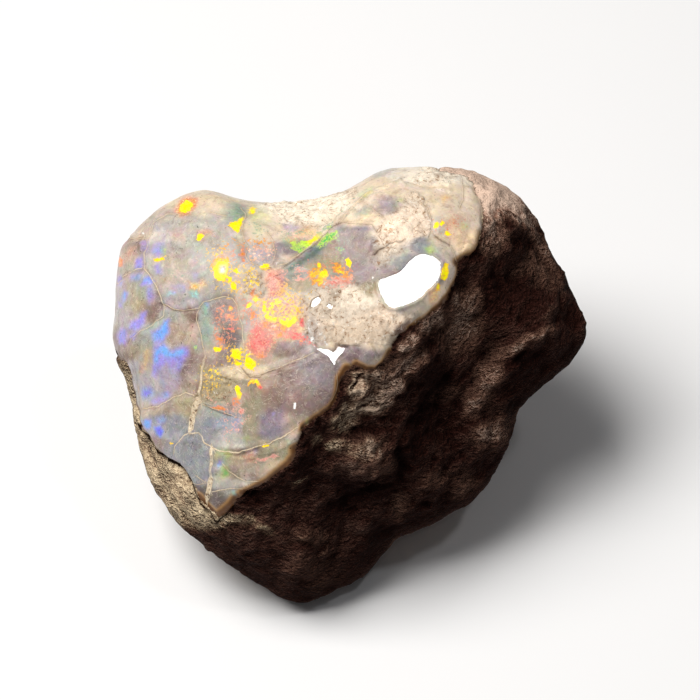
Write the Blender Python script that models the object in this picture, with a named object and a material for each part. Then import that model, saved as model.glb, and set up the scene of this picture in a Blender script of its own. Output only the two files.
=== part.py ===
"""Rough opal: a cobble of brown host rock, broken open on one side to a face of precious opal.

The stone is one natural piece, so it is one object. It is shaped in the frame of its broad
face: x to the right across the face, y up the face, w out of it, with the middle of the stone
at 0. It then lies back on its underside, so that the face looks up at FACE_ELEVATION. The
origin is on the surface it rests on, straight below the stone's middle.
The tables are in millimetres, and the finished mesh is in metres, +Z up.
"""

import math

import bmesh
import bpy
import numpy as np
from mathutils import Vector, noise

MM = 0.001
CELLS = 28  # quads along each edge of the cube that the stone is carved from
FRONT_SHARE = 0.3  # how far the mesh is drawn together on the front, where its detail is

FACE_ELEVATION = math.radians(50)  # how high above the horizon the broad face looks
REST_DEPTH = 17.2  # from the stone's middle down to the surface it lies on
REST_ROUNDING = 0.08  # width of the worn edge round the resting flat, as a share of REST_DEPTH

# The rim: the stone's outline seen straight onto its face, anticlockwise from the right.
RIM = [
    (20.0, 0.3), (22.6, 2.4), (23.6, 5.0), (23.0, 7.8), (21.0, 12.2), (18.6, 16.8),
    (16.6, 19.2), (13.6, 21.0), (9.8, 21.9), (4.6, 21.7), (2.2, 21.1), (0.0, 19.6),
    (-3.9, 18.5), (-8.1, 18.2), (-10.6, 18.4), (-14.2, 19.5), (-17.0, 18.9), (-20.4, 16.6),
    (-22.9, 13.2), (-23.4, 7.6), (-23.8, 5.1), (-23.4, 2.5), (-22.2, 0.0), (-21.5, -4.6),
    (-20.2, -9.0), (-17.9, -13.0), (-14.6, -16.2), (-9.0, -20.1), (-5.2, -22.0), (-1.4, -20.7),
    (1.9, -19.0), (3.3, -17.0), (5.3, -15.2), (9.1, -13.6), (13.0, -11.0), (15.3, -7.5),
    (16.3, -5.0), (16.8, -2.5),
]
RIM_STEPS = 12  # points read from the smooth rim between two of its own
RIM_SWAY = 1.1  # how far the rim wanders out of the face's plane
RIM_DROP = 4.0  # how far behind the face's plane the rim lies where it lies furthest back
RIM_DROP_TOWARDS = math.radians(-45)  # where that is, round the face
RIM_BLUR = math.radians(70)  # the back keeps only the turns of the rim that are wider than this
# How late each side starts to turn over towards the rim, and how roundly it then turns:
# a rounding of 0.5 is a circle, and less is squarer.
FRONT_POWER, FRONT_ROUNDING = 3.4, 0.42
BACK_POWER, BACK_ROUNDING = 2.5, 0.46

# The crest between the opal face and the rock side, as a line across the face.
CREST_POINT = (0.2, 2.3)
CREST_DIRECTION = (0.628, 0.777)
CREST_HEIGHT = 14.0
CREST_FALL = 5.0  # how much lower the crest is at CREST_REACH from its middle
CREST_REACH = 22.0
CREST_ROUNDING = 1.8
OPAL_SLOPE = 0.30
ROCK_SLOPE = 0.60
BACK_DEPTH = 19.5

# The lower edge of the opal, which stands proud of the rock in a rounded lip: down its left
# side to its lowest point, and up its lower right side.
OPAL_LIP = [
    (-24.5, 3.5), (-22.4, 1.0), (-21.4, -1.5), (-20.6, -4.0), (-18.6, -6.0), (-17.0, -8.5),
    (-15.8, -10.8), (-14.2, -12.8), (-12.6, -13.0), (-11.0, -11.8), (-8.8, -9.7),
    (-5.8, -7.7), (-4.8, -4.7), (-1.5, -2.0),
    (-0.7, 0.5), (0.6, 2.1), (2.2, 1.3), (4.2, 2.0), (5.5, 4.0), (7.5, 6.0), (9.7, 8.7),
    (10.5, 12.3), (12.2, 13.3), (13.1, 15.7), (13.3, 18.0), (12.4, 22.5),
]
LIP_HEIGHT = 1.2
LIP_WIDTH = 1.4

# Ledges where one plate of opal has broken away beside the next: drop, how far the drop
# takes to fade, and the edge, with the lower side on the right of the way it runs.
LEDGES = [
    (1.2, 4.5, [(-7.5, 11.4), (-4.5, 13.0), (-1.5, 15.8), (1.7, 18.7), (5.0, 20.1)]),
    (0.8, 3.0, [(-12.2, 1.8), (-9.5, 1.0), (-6.7, 1.8), (-3.4, 3.3)]),
    (1.0, 2.6, [(-15.7, -4.7), (-13.6, -6.0), (-10.3, -6.4), (-6.7, -5.2), (-4.8, -4.2)]),
    (0.7, 2.4, [(-12.3, -7.8), (-11.5, -8.8), (-10.2, -9.5), (-8.6, -9.7)]),
    (0.7, 2.6, [(-20.4, -2.4), (-18.7, -1.9), (-16.6, -0.8), (-15.1, -1.0)]),
    (0.7, 3.0, [(-21.8, 4.4), (-19.5, 6.0), (-18.4, 6.9), (-17.4, 7.6), (-15.3, 7.7)]),
    (0.6, 2.6, [(-22.4, 10.7), (-21.0, 11.5), (-20.3, 11.5), (-19.3, 10.0), (-18.7, 8.2)]),
    (0.6, 2.5, [(-21.8, 14.6), (-20.1, 14.5), (-19.4, 16.1), (-18.1, 17.0), (-16.1, 17.0)]),
    (0.6, 2.2, [(-10.8, 13.9), (-10.4, 12.4), (-9.4, 11.8), (-8.0, 11.5)]),
    (0.8, 3.0, [(13.3, 15.0), (12.2, 13.2), (10.7, 12.6), (9.9, 14.0), (8.4, 14.8)]),
]

LEDGE_WIDTH = 0.8

# Lumps (+) and hollows (-): place on the face, radius, height.
ROCK_FORMS = [
    (3.5, -7.0, 3.4, 1.5),
    (9.0, -3.5, 3.0, -1.3),
    (19.5, 5.5, 3.0, 0.9),
    (17.0, 1.0, 2.8, 1.1),
    (14.5, -4.5, 2.8, 1.1),
    (12.0, 3.5, 3.4, -1.1),
    (7.0, 1.5, 1.8, 0.7),
    (15.0, 17.0, 3.8, 1.1),
    (20.0, 11.0, 3.0, -0.5),
    (-5.0, -17.5, 2.8, 1.0),
    (-10.0, -15.5, 2.4, 0.7),
    (-0.5, -13.5, 2.8, -0.8),
    (7.0, -11.5, 3.2, 0.9),
    (-17.5, -8.5, 2.2, 0.7),
    (-15.0, -12.0, 2.2, 0.6),
]
OPAL_FORMS = [
    (-0.5, 13.0, 3.0, -1.3),
    (6.2, 10.5, 2.6, 0.6),
    (2.6, 3.5, 2.0, 0.9),
    (-6.0, -2.0, 4.2, 0.8),
    (-16.0, 13.0, 4.6, 0.9),
    (-21.0, 8.0, 2.8, 0.6),
    (-18.5, 2.5, 3.2, 0.7),
    (-8.5, 9.0, 3.2, -0.5),
    (-0.5, 7.5, 2.8, -0.7),
    (-4.0, 17.0, 2.6, -0.5),
    (3.5, 16.5, 2.8, 0.6),
    (9.5, 16.5, 2.6, 0.4),
]
# Rows of roughness: wavelength and depth of each size of lump in the broken rock.
ROCK_ROUGHNESS = [(10.0, 1.1), (5.0, 0.9), (2.6, 0.5)]
OPAL_ROUGHNESS = [(7.0, 0.35), (3.2, 0.2)]
BACK_ROUGHNESS = [(13.0, 2.6), (6.0, 1.2), (2.8, 0.5)]
BACK_HOLLOW = 0.6  # how far the roughness of the back is worn down on the whole

ROCK_COLOUR = (0.085, 0.055, 0.042, 1.0)
STONE_NAME = "rough_opal"


def clear_scene():
    for obj in list(bpy.data.objects):
        bpy.data.objects.remove(obj, do_unlink=True)


def closed_curve(points, steps):
    """Points read from a smooth closed curve through the given points."""
    p = np.array(points, float)
    before, after, beyond = np.roll(p, 1, 0), np.roll(p, -1, 0), np.roll(p, -2, 0)
    rows = []
    for t in np.arange(steps) / steps:
        rows.append(
            0.5
            * (
                2 * p
                + (after - before) * t
                + (2 * before - 5 * p + 4 * after - beyond) * t**2
                + (3 * p - before - 3 * after + beyond) * t**3
            )
        )
    return np.stack(rows, 1).reshape(-1, 2)


def rim_reach(angle):
    """Distance from the stone's middle to the rim in each direction on the face."""
    curve = closed_curve(RIM, RIM_STEPS)
    turn = np.arctan2(curve[:, 1], curve[:, 0])
    order = np.argsort(turn)
    return np.interp(angle, turn[order], np.hypot(*curve[order].T), period=2 * math.pi)


def blurred_reach(angle):
    """The rim's reach averaged over its neighbours, without its notches."""
    turns = np.linspace(-0.5, 0.5, 15) * RIM_BLUR
    return np.mean([rim_reach(angle + turn) for turn in turns], 0)


def distance_to_line(x, y, points):
    """Distance to an open line, + on the right of the way it runs, and how squarely a
    point lies beside the line: 1 beside it, falling to 0 straight ahead of its two ends."""
    p = np.array(points, float)
    way = np.diff(p, axis=0)
    way /= np.linalg.norm(way, axis=1, keepdims=True)
    at_corner = np.vstack([way[:1], way[:-1] + way[1:], way[-1:]])
    best = np.full(np.shape(x), np.inf)
    side = np.zeros(np.shape(x))
    square = np.ones(np.shape(x))
    for i in range(len(way)):
        (ax, ay), (dx, dy) = p[i], p[i + 1] - p[i]
        share = np.clip(((x - ax) * dx + (y - ay) * dy) / (dx * dx + dy * dy), 0, 1)
        off_x, off_y = x - ax - share * dx, y - ay - share * dy
        gap = np.hypot(off_x, off_y)
        heading_x = at_corner[i, 0] + share * (at_corner[i + 1, 0] - at_corner[i, 0])
        heading_y = at_corner[i, 1] + share * (at_corner[i + 1, 1] - at_corner[i, 1])
        across = (off_x * heading_y - off_y * heading_x) / np.hypot(heading_x, heading_y)
        nearer = gap < best
        best = np.where(nearer, gap, best)
        side = np.where(nearer, np.sign(across), side)
        square = np.where(nearer, np.abs(across) / np.maximum(gap, 1e-9), square)
    return best * side, square


def smooth_step(value, low, high):
    t = np.clip((value - low) / (high - low), 0, 1)
    return t * t * (3 - 2 * t)


def soft_positive(value, rounding):
    """The value where it is positive and 0 where it is negative, with a rounded corner."""
    return 0.5 * (value + np.sqrt(value**2 + rounding**2) - rounding)


def forms(x, y, table):
    total = np.zeros(np.shape(x))
    for px, py, radius, height in table:
        total += height * np.exp(-((x - px) ** 2 + (y - py) ** 2) / radius**2)
    return total


def ledges(x, y):
    """How far the surface lies below the plates that it has broken away from."""
    total = np.zeros(np.shape(x))
    for drop, fade, edge in LEDGES:
        right, square = distance_to_line(x, y, edge)
        step = smooth_step(right, -LEDGE_WIDTH, LEDGE_WIDTH)
        total += drop * square**2 * step * np.exp(-np.maximum(right, 0) / fade)
    return total


def roughness(points, rows):
    """Sum of smooth noise over the rows of wavelength and depth."""
    return np.array(
        [sum(depth * noise.noise(Vector(p) / wave) for wave, depth in rows) for p in points]
    )


def front_height(x, y):
    """Height of the two broad slopes that meet at the crest, with their lumps and hollows."""
    (cx, cy), (ux, uy) = CREST_POINT, CREST_DIRECTION
    across = (x - cx) * uy - (y - cy) * ux
    along = (x - cx) * ux + (y - cy) * uy
    crest = CREST_HEIGHT - CREST_FALL * (along / CREST_REACH) ** 2
    slopes = OPAL_SLOPE * soft_positive(-across, CREST_ROUNDING)
    slopes = slopes + ROCK_SLOPE * soft_positive(across, CREST_ROUNDING)
    outside_opal, _ = distance_to_line(x, y, OPAL_LIP)
    step = LIP_HEIGHT * smooth_step(outside_opal, 0, LIP_WIDTH)
    on_rock = smooth_step(outside_opal, -1.0, 1.0)
    on_opal = forms(x, y, OPAL_FORMS) - ledges(x, y)
    return crest - slopes - step + on_rock * forms(x, y, ROCK_FORMS) + (1 - on_rock) * on_opal, on_rock


def stone_points(directions):
    """Carries directions from the stone's middle to its surface, in the face frame."""
    dx, dy, dw = directions.T
    share = np.hypot(dx, dy)
    angle = np.arctan2(dy, dx)
    front = dw >= 0
    power = np.where(front, FRONT_POWER, BACK_POWER)
    rounding = np.where(front, FRONT_ROUNDING, BACK_ROUNDING)
    profile = np.maximum(1 - share**power, 0) ** rounding
    rim = rim_reach(angle)
    blur = np.where(front, 0.0, smooth_step(profile, 0.0, 0.6))
    reach = share * ((1 - blur) * rim + blur * blurred_reach(angle))
    x, y = reach * np.cos(angle), reach * np.sin(angle)
    rim_height = RIM_SWAY * np.sin(3 * angle + 2.0)
    rim_height = rim_height - 0.5 * RIM_DROP * (1 + np.cos(angle - RIM_DROP_TOWARDS))
    height, on_rock = front_height(x, y)
    height = np.where(front, height, -BACK_DEPTH)
    place = np.stack([x, y, rim_height + (height - rim_height) * profile], 1)
    rough_rock = roughness(place, ROCK_ROUGHNESS)
    rough_opal = roughness(place, OPAL_ROUGHNESS)
    rough_front = on_rock * rough_rock + (1 - on_rock) * rough_opal
    inside_rim = np.minimum(1, 2 * profile)
    rough_back = (roughness(place, BACK_ROUGHNESS) - BACK_HOLLOW) * inside_rim
    reach = np.where(front, reach, np.minimum(reach + share * rough_back, rim))
    height = place[:, 2] + np.where(front, rough_front * inside_rim, -profile * rough_back)
    return np.stack([reach * np.cos(angle), reach * np.sin(angle), height], 1)


def lie_down(place):
    """Turns the face frame into the world's, and flattens the underside that it rests on."""
    x, y, w = place.T
    s, c = math.sin(FACE_ELEVATION), math.cos(FACE_ELEVATION)
    world = np.stack([x, y * s - w * c, y * c + w * s], 1)
    low, high = 1 - REST_ROUNDING, 1 + REST_ROUNDING
    depth = -world[:, 2] / REST_DEPTH
    rounded = depth - (depth - low) ** 2 / (4 * REST_ROUNDING)
    kept = np.where(depth < low, depth, np.where(depth > high, 1.0, rounded))
    shrink = np.where(depth > low, kept / np.maximum(depth, low), 1.0)
    world *= shrink[:, None]
    world[:, 2] += REST_DEPTH
    world[depth > high, 2] = 0.0
    return world


def carve_stone(mesh):
    """A cube of even quads, drawn out to the stone's surface."""
    bm = bmesh.new()
    bmesh.ops.create_cube(bm, size=2.0)
    bmesh.ops.subdivide_edges(bm, edges=bm.edges, cuts=CELLS - 1, use_grid_fill=True)
    corners = np.array([v.co for v in bm.verts], float)
    directions = np.tan(corners * math.pi / 4)
    directions /= np.linalg.norm(directions, axis=1, keepdims=True)
    directions[:, 2] *= 1 + FRONT_SHARE * np.sign(directions[:, 2])
    directions /= np.linalg.norm(directions, axis=1, keepdims=True)
    for vert, co in zip(bm.verts, lie_down(stone_points(directions)) * MM):
        vert.co = co
    bmesh.ops.recalc_face_normals(bm, faces=bm.faces)
    bm.to_mesh(mesh)
    bm.free()
    mesh.shade_smooth()


def stone_material():
    material = bpy.data.materials.new("opal_stone")
    material.use_nodes = True
    shader = material.node_tree.nodes["Principled BSDF"]
    shader.inputs["Base Color"].default_value = ROCK_COLOUR
    shader.inputs["Roughness"].default_value = 0.8
    shader.inputs["Metallic"].default_value = 0.0
    return material


def main():
    clear_scene()
    stones = bpy.data.collections.new("rough_opal_specimen")
    bpy.context.scene.collection.children.link(stones)
    mesh = bpy.data.meshes.new(STONE_NAME)
    carve_stone(mesh)
    mesh.materials.append(stone_material())
    stones.objects.link(bpy.data.objects.new(STONE_NAME, mesh))


main()
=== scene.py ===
"""Rough opal, dressed: milky precious opal with its play of colour, in brown host rock.

The stone is worked in the frame of its broken face, in millimetres: x to the right across the
face, y up it and w out of it towards the camera, with the stone's middle at 0. Places in the
tables are where things are seen from the camera, at the depth of the stone's middle.
"""

import math
import random

import bmesh
import bpy
import numpy as np
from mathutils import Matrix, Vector, noise
from mathutils.bvhtree import BVHTree


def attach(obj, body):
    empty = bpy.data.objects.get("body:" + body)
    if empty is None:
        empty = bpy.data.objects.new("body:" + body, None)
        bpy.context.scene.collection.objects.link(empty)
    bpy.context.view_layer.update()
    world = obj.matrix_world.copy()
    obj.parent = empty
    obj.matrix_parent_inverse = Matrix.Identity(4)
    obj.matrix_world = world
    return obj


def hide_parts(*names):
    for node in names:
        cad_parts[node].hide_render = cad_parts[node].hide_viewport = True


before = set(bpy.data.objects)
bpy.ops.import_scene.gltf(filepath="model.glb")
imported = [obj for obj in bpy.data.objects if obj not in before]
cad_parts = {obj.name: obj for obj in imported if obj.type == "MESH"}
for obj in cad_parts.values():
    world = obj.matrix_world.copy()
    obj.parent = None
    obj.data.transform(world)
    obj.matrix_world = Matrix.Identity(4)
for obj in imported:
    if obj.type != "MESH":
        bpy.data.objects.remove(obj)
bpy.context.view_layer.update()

MM = 0.001
NODE = "rough_opal"

FACE_ELEVATION = math.radians(50)  # how high above the horizon the broken face looks
STONE_MIDDLE = 17.2  # height of the stone's middle above what it lies on
VIEW_CENTRE = 3.5  # how far up the face the camera looks
LENS, SENSOR = 250.0, 36.0
FRAME_WIDTH = 70.0  # width of the view at the stone's middle
VIEW_DISTANCE = FRAME_WIDTH * LENS / SENSOR

# The mesh: quads along each edge of the cube it starts from, and what is then halved once,
# and again where the detail is finest.
CELLS = 52
FINE_ABOVE = -2.0  # the front is halved once from this far behind the middle
OPAL_MARGIN = 0.8  # and again over the opal and this far round it

# The opal's outline on the face. It runs past the stone's edge at the left and the top,
# where the opal wraps over the edge.
OPAL_OUTLINE = [
    (-26.0, 3.5), (-24.0, 3.4), (-23.3, 2.8), (-22.8, 2.4), (-22.4, 2.0), (-22.1, 1.3), (-21.9, 0.3),
    (-21.7, -0.9), (-21.5, -2.1), (-21.2, -3.2), (-20.8, -4.1), (-20.2, -4.9), (-19.8, -5.6),
    (-19.3, -6.4), (-18.7, -7.0), (-17.9, -7.5), (-17.1, -7.9), (-16.5, -8.6), (-16.0, -9.7),
    (-15.4, -10.8), (-14.7, -11.9), (-13.9, -12.8), (-13.1, -13.4), (-12.3, -12.8), (-11.6, -12.1),
    (-11.1, -11.2), (-10.4, -10.6), (-9.4, -10.2), (-8.6, -9.8), (-7.8, -9.4), (-7.0, -8.7), (-6.2, -8.0),
    (-5.5, -7.2), (-5.3, -6.3), (-5.2, -5.5), (-4.7, -4.5), (-3.8, -3.6), (-2.8, -3.0), (-1.9, -2.4),
    (-1.3, -1.6), (-1.0, -0.7), (-0.9, 0.3), (-0.4, 1.4), (0.2, 2.1), (0.8, 2.0), (1.6, 1.5), (2.6, 1.4),
    (3.4, 2.1), (4.1, 3.3), (4.6, 4.3), (5.3, 5.0), (6.1, 5.6), (7.1, 6.3), (8.1, 7.0), (9.0, 7.8),
    (9.8, 8.6), (10.4, 9.6), (10.9, 11.0), (10.9, 12.2), (11.3, 12.7), (12.1, 13.0), (12.8, 13.8),
    (13.1, 14.9), (13.4, 16.2), (13.3, 17.9), (12.8, 19.5), (12.2, 20.5), (11.2, 21.1), (9.0, 21.7),
    (6.0, 25.5), (-10.0, 24.0), (-26.0, 24.0),
]
OPAL_BEHIND = 3.0  # how far behind the edge the opal wraps

# Cream seams between the plates of opal: half width, and the line.
SEAMS = [
    (0.02, [(-21.8, 14.6), (-20.1, 14.5), (-19.4, 16.1), (-18.1, 17.0), (-16.1, 17.0), (-14.2, 17.4),
        (-12.4, 17.0)]),
    (0.02, [(-19.5, 16.5), (-19.9, 15.5), (-20.2, 14.5), (-20.0, 13.9), (-20.5, 13.2), (-20.4, 12.2),
        (-20.4, 11.6)]),
    (0.03, [(-23.1, 10.1), (-22.6, 10.6), (-21.9, 11.2), (-21.0, 11.6), (-20.4, 11.6), (-19.9, 11.0),
        (-19.3, 10.0), (-18.9, 8.9), (-18.7, 8.1), (-18.4, 6.9)]),
    (0.03, [(-18.4, 6.9), (-19.5, 6.0), (-20.8, 5.3), (-21.7, 4.5), (-22.0, 3.5)]),
    (0.03, [(-18.7, 8.1), (-17.4, 7.6), (-16.4, 7.5), (-15.3, 7.7), (-14.6, 8.3), (-13.7, 8.6),
        (-12.5, 8.8), (-11.8, 8.7), (-11.3, 8.0), (-11.1, 7.0), (-10.8, 5.9), (-10.7, 4.5), (-10.6, 3.5),
        (-10.7, 2.3), (-10.9, 1.5)]),
    (0.03, [(-15.1, 7.6), (-15.2, 6.6), (-14.9, 5.2), (-14.6, 3.7), (-14.5, 2.7)]),
    (0.1, [(-14.5, 2.9), (-14.8, 1.7), (-14.9, 0.5), (-15.0, -0.7), (-15.0, -1.6)]),
    (0.03, [(-20.4, -2.3), (-19.0, -2.1), (-18.2, -1.5), (-17.5, -1.1), (-16.3, -0.7), (-15.5, -0.9),
        (-15.1, -1.3)]),
    (0.27, [(-15.0, -1.6), (-15.3, -2.5), (-15.6, -3.5), (-15.8, -4.3)]),
    (0.03, [(-15.8, -4.5), (-16.3, -4.9), (-16.6, -5.5), (-17.2, -6.1), (-17.4, -6.8)]),
    (0.04, [(-15.8, -4.7), (-15.0, -4.7), (-14.6, -5.1), (-14.3, -5.7), (-13.6, -6.1), (-12.8, -6.4),
        (-11.9, -6.5), (-10.9, -6.5), (-9.8, -6.2), (-8.8, -5.9), (-8.0, -5.6), (-7.2, -5.3),
        (-6.4, -4.9), (-5.3, -4.2)]),
    (0.13, [(-13.6, -6.1), (-13.5, -7.1), (-13.6, -8.3), (-13.6, -9.3)]),
    (0.22, [(-13.6, -9.3), (-13.9, -10.4), (-14.2, -11.3)]),
    (0.1, [(-14.2, -11.1), (-14.3, -11.9)]),
    (0.02, [(-16.1, -9.7), (-15.2, -9.9), (-14.2, -9.8)]),
    (0.02, [(-15.1, -9.0), (-14.6, -9.4), (-14.2, -9.6)]),
    (0.03, [(-13.6, -10.6), (-12.5, -10.4), (-11.4, -10.2), (-10.7, -10.2)]),
    (0.03, [(-12.4, -7.7), (-11.8, -8.5), (-11.0, -9.1), (-10.2, -9.5), (-9.2, -9.6)]),
    (0.03, [(-14.5, -1.9), (-13.7, -2.3), (-12.8, -2.6), (-11.9, -3.0)]),
    (0.01, [(-11.9, -3.0), (-10.8, -3.3), (-9.8, -3.4)]),
    (0.03, [(-12.1, 1.9), (-11.1, 1.6), (-10.6, 1.2), (-9.8, 0.9), (-9.1, 1.0), (-8.6, 1.2), (-8.0, 1.5),
        (-7.2, 1.6), (-6.7, 1.8), (-6.0, 2.2), (-5.3, 2.4), (-4.5, 2.8), (-3.4, 3.3)]),
    (0.02, [(-10.9, 17.8), (-10.4, 17.2), (-10.6, 16.4), (-10.8, 15.5), (-10.6, 14.5), (-10.2, 13.9),
        (-10.4, 13.0), (-10.2, 12.4), (-9.4, 12.0), (-8.7, 11.6)]),
    (0.03, [(-8.7, 11.6), (-7.5, 11.9), (-6.5, 12.0), (-5.4, 12.9), (-4.2, 13.7), (-3.4, 14.4)]),
    (0.02, [(-1.3, 16.0), (0.2, 17.3), (1.7, 18.7), (2.6, 19.4), (3.7, 19.9), (5.0, 20.2), (6.3, 19.9)]),
    (0.01, [(-1.1, 16.2), (0.5, 16.1), (2.3, 16.1)]),
    (0.02, [(2.4, 17.2), (3.5, 16.4)]),
    (0.01, [(0.7, 18.0), (1.6, 17.8), (2.5, 17.2)]),
    (0.02, [(11.2, 20.9), (11.3, 19.5), (11.3, 18.5), (10.9, 17.6)]),
    (0.02, [(11.3, 19.9), (12.4, 19.9), (13.0, 18.9), (13.3, 17.6), (13.3, 16.1), (12.8, 14.3)]),
    (0.02, [(8.4, 15.0), (9.1, 14.6), (9.9, 14.1), (10.3, 13.2), (10.6, 12.5)]),
    (0.02, [(-7.7, 12.1), (-7.5, 13.3), (-7.7, 14.5), (-8.2, 15.2)]),
    (0.01, [(-1.3, 1.1), (-1.2, 0.1), (-1.4, -0.8), (-1.9, -1.5)]),
    (0.01, [(-21.3, 0.1), (-21.1, -1.5), (-20.9, -3.5)]),
    (0.02, [(7.0, 17.9), (7.8, 17.3), (8.0, 16.5)]),
    (0.01, [(6.3, 19.9), (7.4, 19.5), (9.0, 19.7), (10.2, 19.5)]),
]

# Dark cracks, in the same way. Some of them are painted shadow lines: under ledges and seams, and in the
# groove along the opal's lower left edge.
CRACKS_AND_SHADOW_LINES = [
    (0.07, [(-21.1, -3.9), (-20.7, -4.6), (-20.2, -5.2), (-20.0, -5.8), (-19.5, -6.5), (-18.9, -7.1)]),
    (0.17, [(-18.9, -7.1), (-18.3, -7.6), (-17.7, -7.8), (-17.2, -8.1)]),
    (0.11, [(-17.2, -8.1), (-16.7, -8.5), (-16.4, -9.2), (-16.0, -9.9)]),
    (0.05, [(-16.0, -9.9), (-15.5, -10.9), (-14.8, -12.0), (-14.0, -12.9), (-13.2, -13.6),
        (-12.5, -13.2)]),
    (0.07, [(2.5, 13.0), (2.9, 13.3), (3.4, 13.6)]),
    (0.06, [(3.7, 13.8), (4.0, 14.1), (4.4, 14.2)]),
    (0.04, [(4.7, 14.2), (5.1, 14.2), (5.5, 14.4)]),
    (0.04, [(-6.6, 11.8), (-6.0, 12.1), (-5.3, 12.7), (-4.5, 13.3), (-3.8, 13.7), (-3.4, 14.2),
        (-2.8, 14.8), (-1.9, 15.6), (-1.5, 15.9)]),
    (0.03, [(-1.5, 15.9), (-0.5, 16.0), (1.0, 15.8), (2.4, 15.8), (2.7, 15.2)]),
    (0.04, [(-8.7, 1.0), (-7.9, 1.4), (-7.1, 1.5), (-6.6, 1.6), (-6.0, 2.0), (-5.3, 2.2)]),
    (0.04, [(-18.6, 8.0), (-17.9, 7.7), (-17.2, 7.5), (-16.4, 7.5), (-15.1, 7.6)]),
    (0.03, [(-12.2, -6.7), (-11.0, -6.7), (-9.8, -6.4), (-9.0, -6.1)]),
    (0.05, [(-10.7, 1.6), (-9.8, 0.8), (-8.8, 0.8)]),
    (0.04, [(-14.4, -1.9), (-13.7, -2.4), (-12.8, -2.8), (-11.9, -3.1)]),
    (0.05, [(8.4, 14.8), (9.1, 14.3), (9.9, 13.9)]),
]

# Where the opal's edge is thin and glows amber.
AMBER_RIMS = [
    (0.12, [(-14.2, -12.3), (-13.3, -13.0), (-12.6, -12.6), (-11.8, -11.9), (-11.2, -11.1)]),
    (0.1, [(-15.1, -11.2), (-14.6, -12.0), (-14.1, -12.6)]),
    (0.1, [(-10.6, -10.7), (-9.4, -10.2), (-8.2, -9.6), (-7.0, -8.6), (-6.0, -7.8), (-5.4, -7.0),
        (-5.3, -6.2)]),
    (0.14, [(-4.5, -4.2), (-3.6, -3.6), (-2.6, -2.9), (-1.7, -2.2), (-1.2, -1.4), (-1.0, -0.4),
        (-0.9, 0.6), (-0.3, 1.6)]),
    (0.06, [(0.6, 2.0), (1.6, 1.5), (2.7, 1.4), (3.5, 2.1), (4.1, 3.2)]),
    (0.07, [(10.7, 12.3), (11.4, 12.7), (12.2, 13.1), (12.8, 13.8), (13.2, 14.9)]),
    (0.05, [(11.1, 11.9), (10.8, 10.6), (10.1, 9.1), (9.2, 7.9), (8.1, 6.9), (6.2, 5.6)]),
]

# Crumbled, weathered patches of the opal.
CRUMBLED = [
    [(-8.8, 18.3), (-8.0, 18.5), (-6.0, 18.9), (-3.0, 19.2), (-0.5, 19.7), (0.5, 19.5), (0.2, 18.5),
     (-0.6, 17.6), (-1.5, 16.7), (-2.6, 16.0), (-4.2, 15.7), (-5.5, 16.1), (-6.8, 16.4), (-7.7, 17.1)],
    [(2.4, 14.4), (2.7, 15.6), (3.5, 16.4), (4.5, 17.2), (5.4, 18.0), (6.4, 18.7), (7.3, 18.5),
     (7.7, 17.5), (8.0, 16.6), (8.2, 15.4), (7.4, 14.7), (6.8, 14.2), (5.9, 13.6), (5.1, 13.3),
     (4.3, 12.9), (4.0, 12.0), (3.2, 11.7), (2.5, 12.2), (2.3, 13.5)],
    [(-4.7, 8.5), (-3.8, 9.3), (-2.4, 9.9), (-0.8, 10.1), (0.6, 9.9), (1.8, 9.3), (2.8, 8.3), (3.6, 7.5),
     (4.8, 7.1), (6.2, 7.1), (7.0, 6.7), (6.4, 5.5), (5.4, 4.5), (4.0, 4.0), (2.2, 4.1), (0.6, 3.9),
     (-0.8, 3.8), (-2.0, 4.3), (-3.4, 4.1), (-4.4, 5.0), (-5.0, 6.7)],
    [(6.2, 20.3), (6.8, 21.3), (8.0, 23.5), (13.0, 23.5), (14.2, 19.5), (12.6, 20.1), (11.2, 20.9),
     (9.6, 20.3), (8.0, 20.1)],
    [(-10.4, 11.3), (-8.8, 11.5), (-8.4, 10.5), (-7.8, 9.5), (-8.8, 8.9), (-10.4, 9.7)],
    [(-14.4, -1.3), (-13.6, 0.5), (-12.4, 1.5), (-11.2, 1.3), (-11.0, -0.1), (-12.2, -1.3),
     (-13.6, -1.7)],
]

# Flat, polished breaks that mirror the light.
MIRRORS = [
    [(2.7, 10.2), (2.9, 10.6), (3.5, 10.8), (4.1, 11.1), (5.0, 11.3), (5.5, 11.8), (6.0, 12.5),
     (6.5, 13.0), (7.3, 13.2), (8.1, 13.1), (8.7, 12.7), (9.2, 12.3), (9.2, 11.6), (9.0, 10.8),
     (8.7, 10.2), (8.2, 9.6), (7.6, 9.2), (7.2, 8.6), (6.5, 8.2), (5.5, 7.8), (4.7, 7.6), (3.9, 7.7),
     (3.4, 8.2), (3.1, 8.8), (2.8, 9.4)],
    [(-3.7, 4.1), (-3.2, 3.8), (-2.6, 3.7), (-2.0, 3.5), (-1.6, 3.4), (-1.2, 3.9), (-0.8, 3.8),
     (-0.3, 3.8), (-0.6, 3.2), (-0.9, 2.9), (-1.3, 2.5), (-1.6, 1.8), (-1.9, 2.3), (-2.3, 2.8),
     (-2.9, 3.1), (-3.4, 3.5)],
    [(-4.1, 7.8), (-3.8, 8.5), (-3.0, 8.9), (-2.8, 8.5), (-3.5, 7.7)],
    [(-2.3, 7.9), (-2.0, 8.2), (-1.6, 7.9), (-1.9, 7.5)],
    [(-7.7, 12.1), (-7.4, 12.7), (-7.2, 12.5), (-7.3, 12.0), (-7.5, 11.9)],
]

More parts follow.
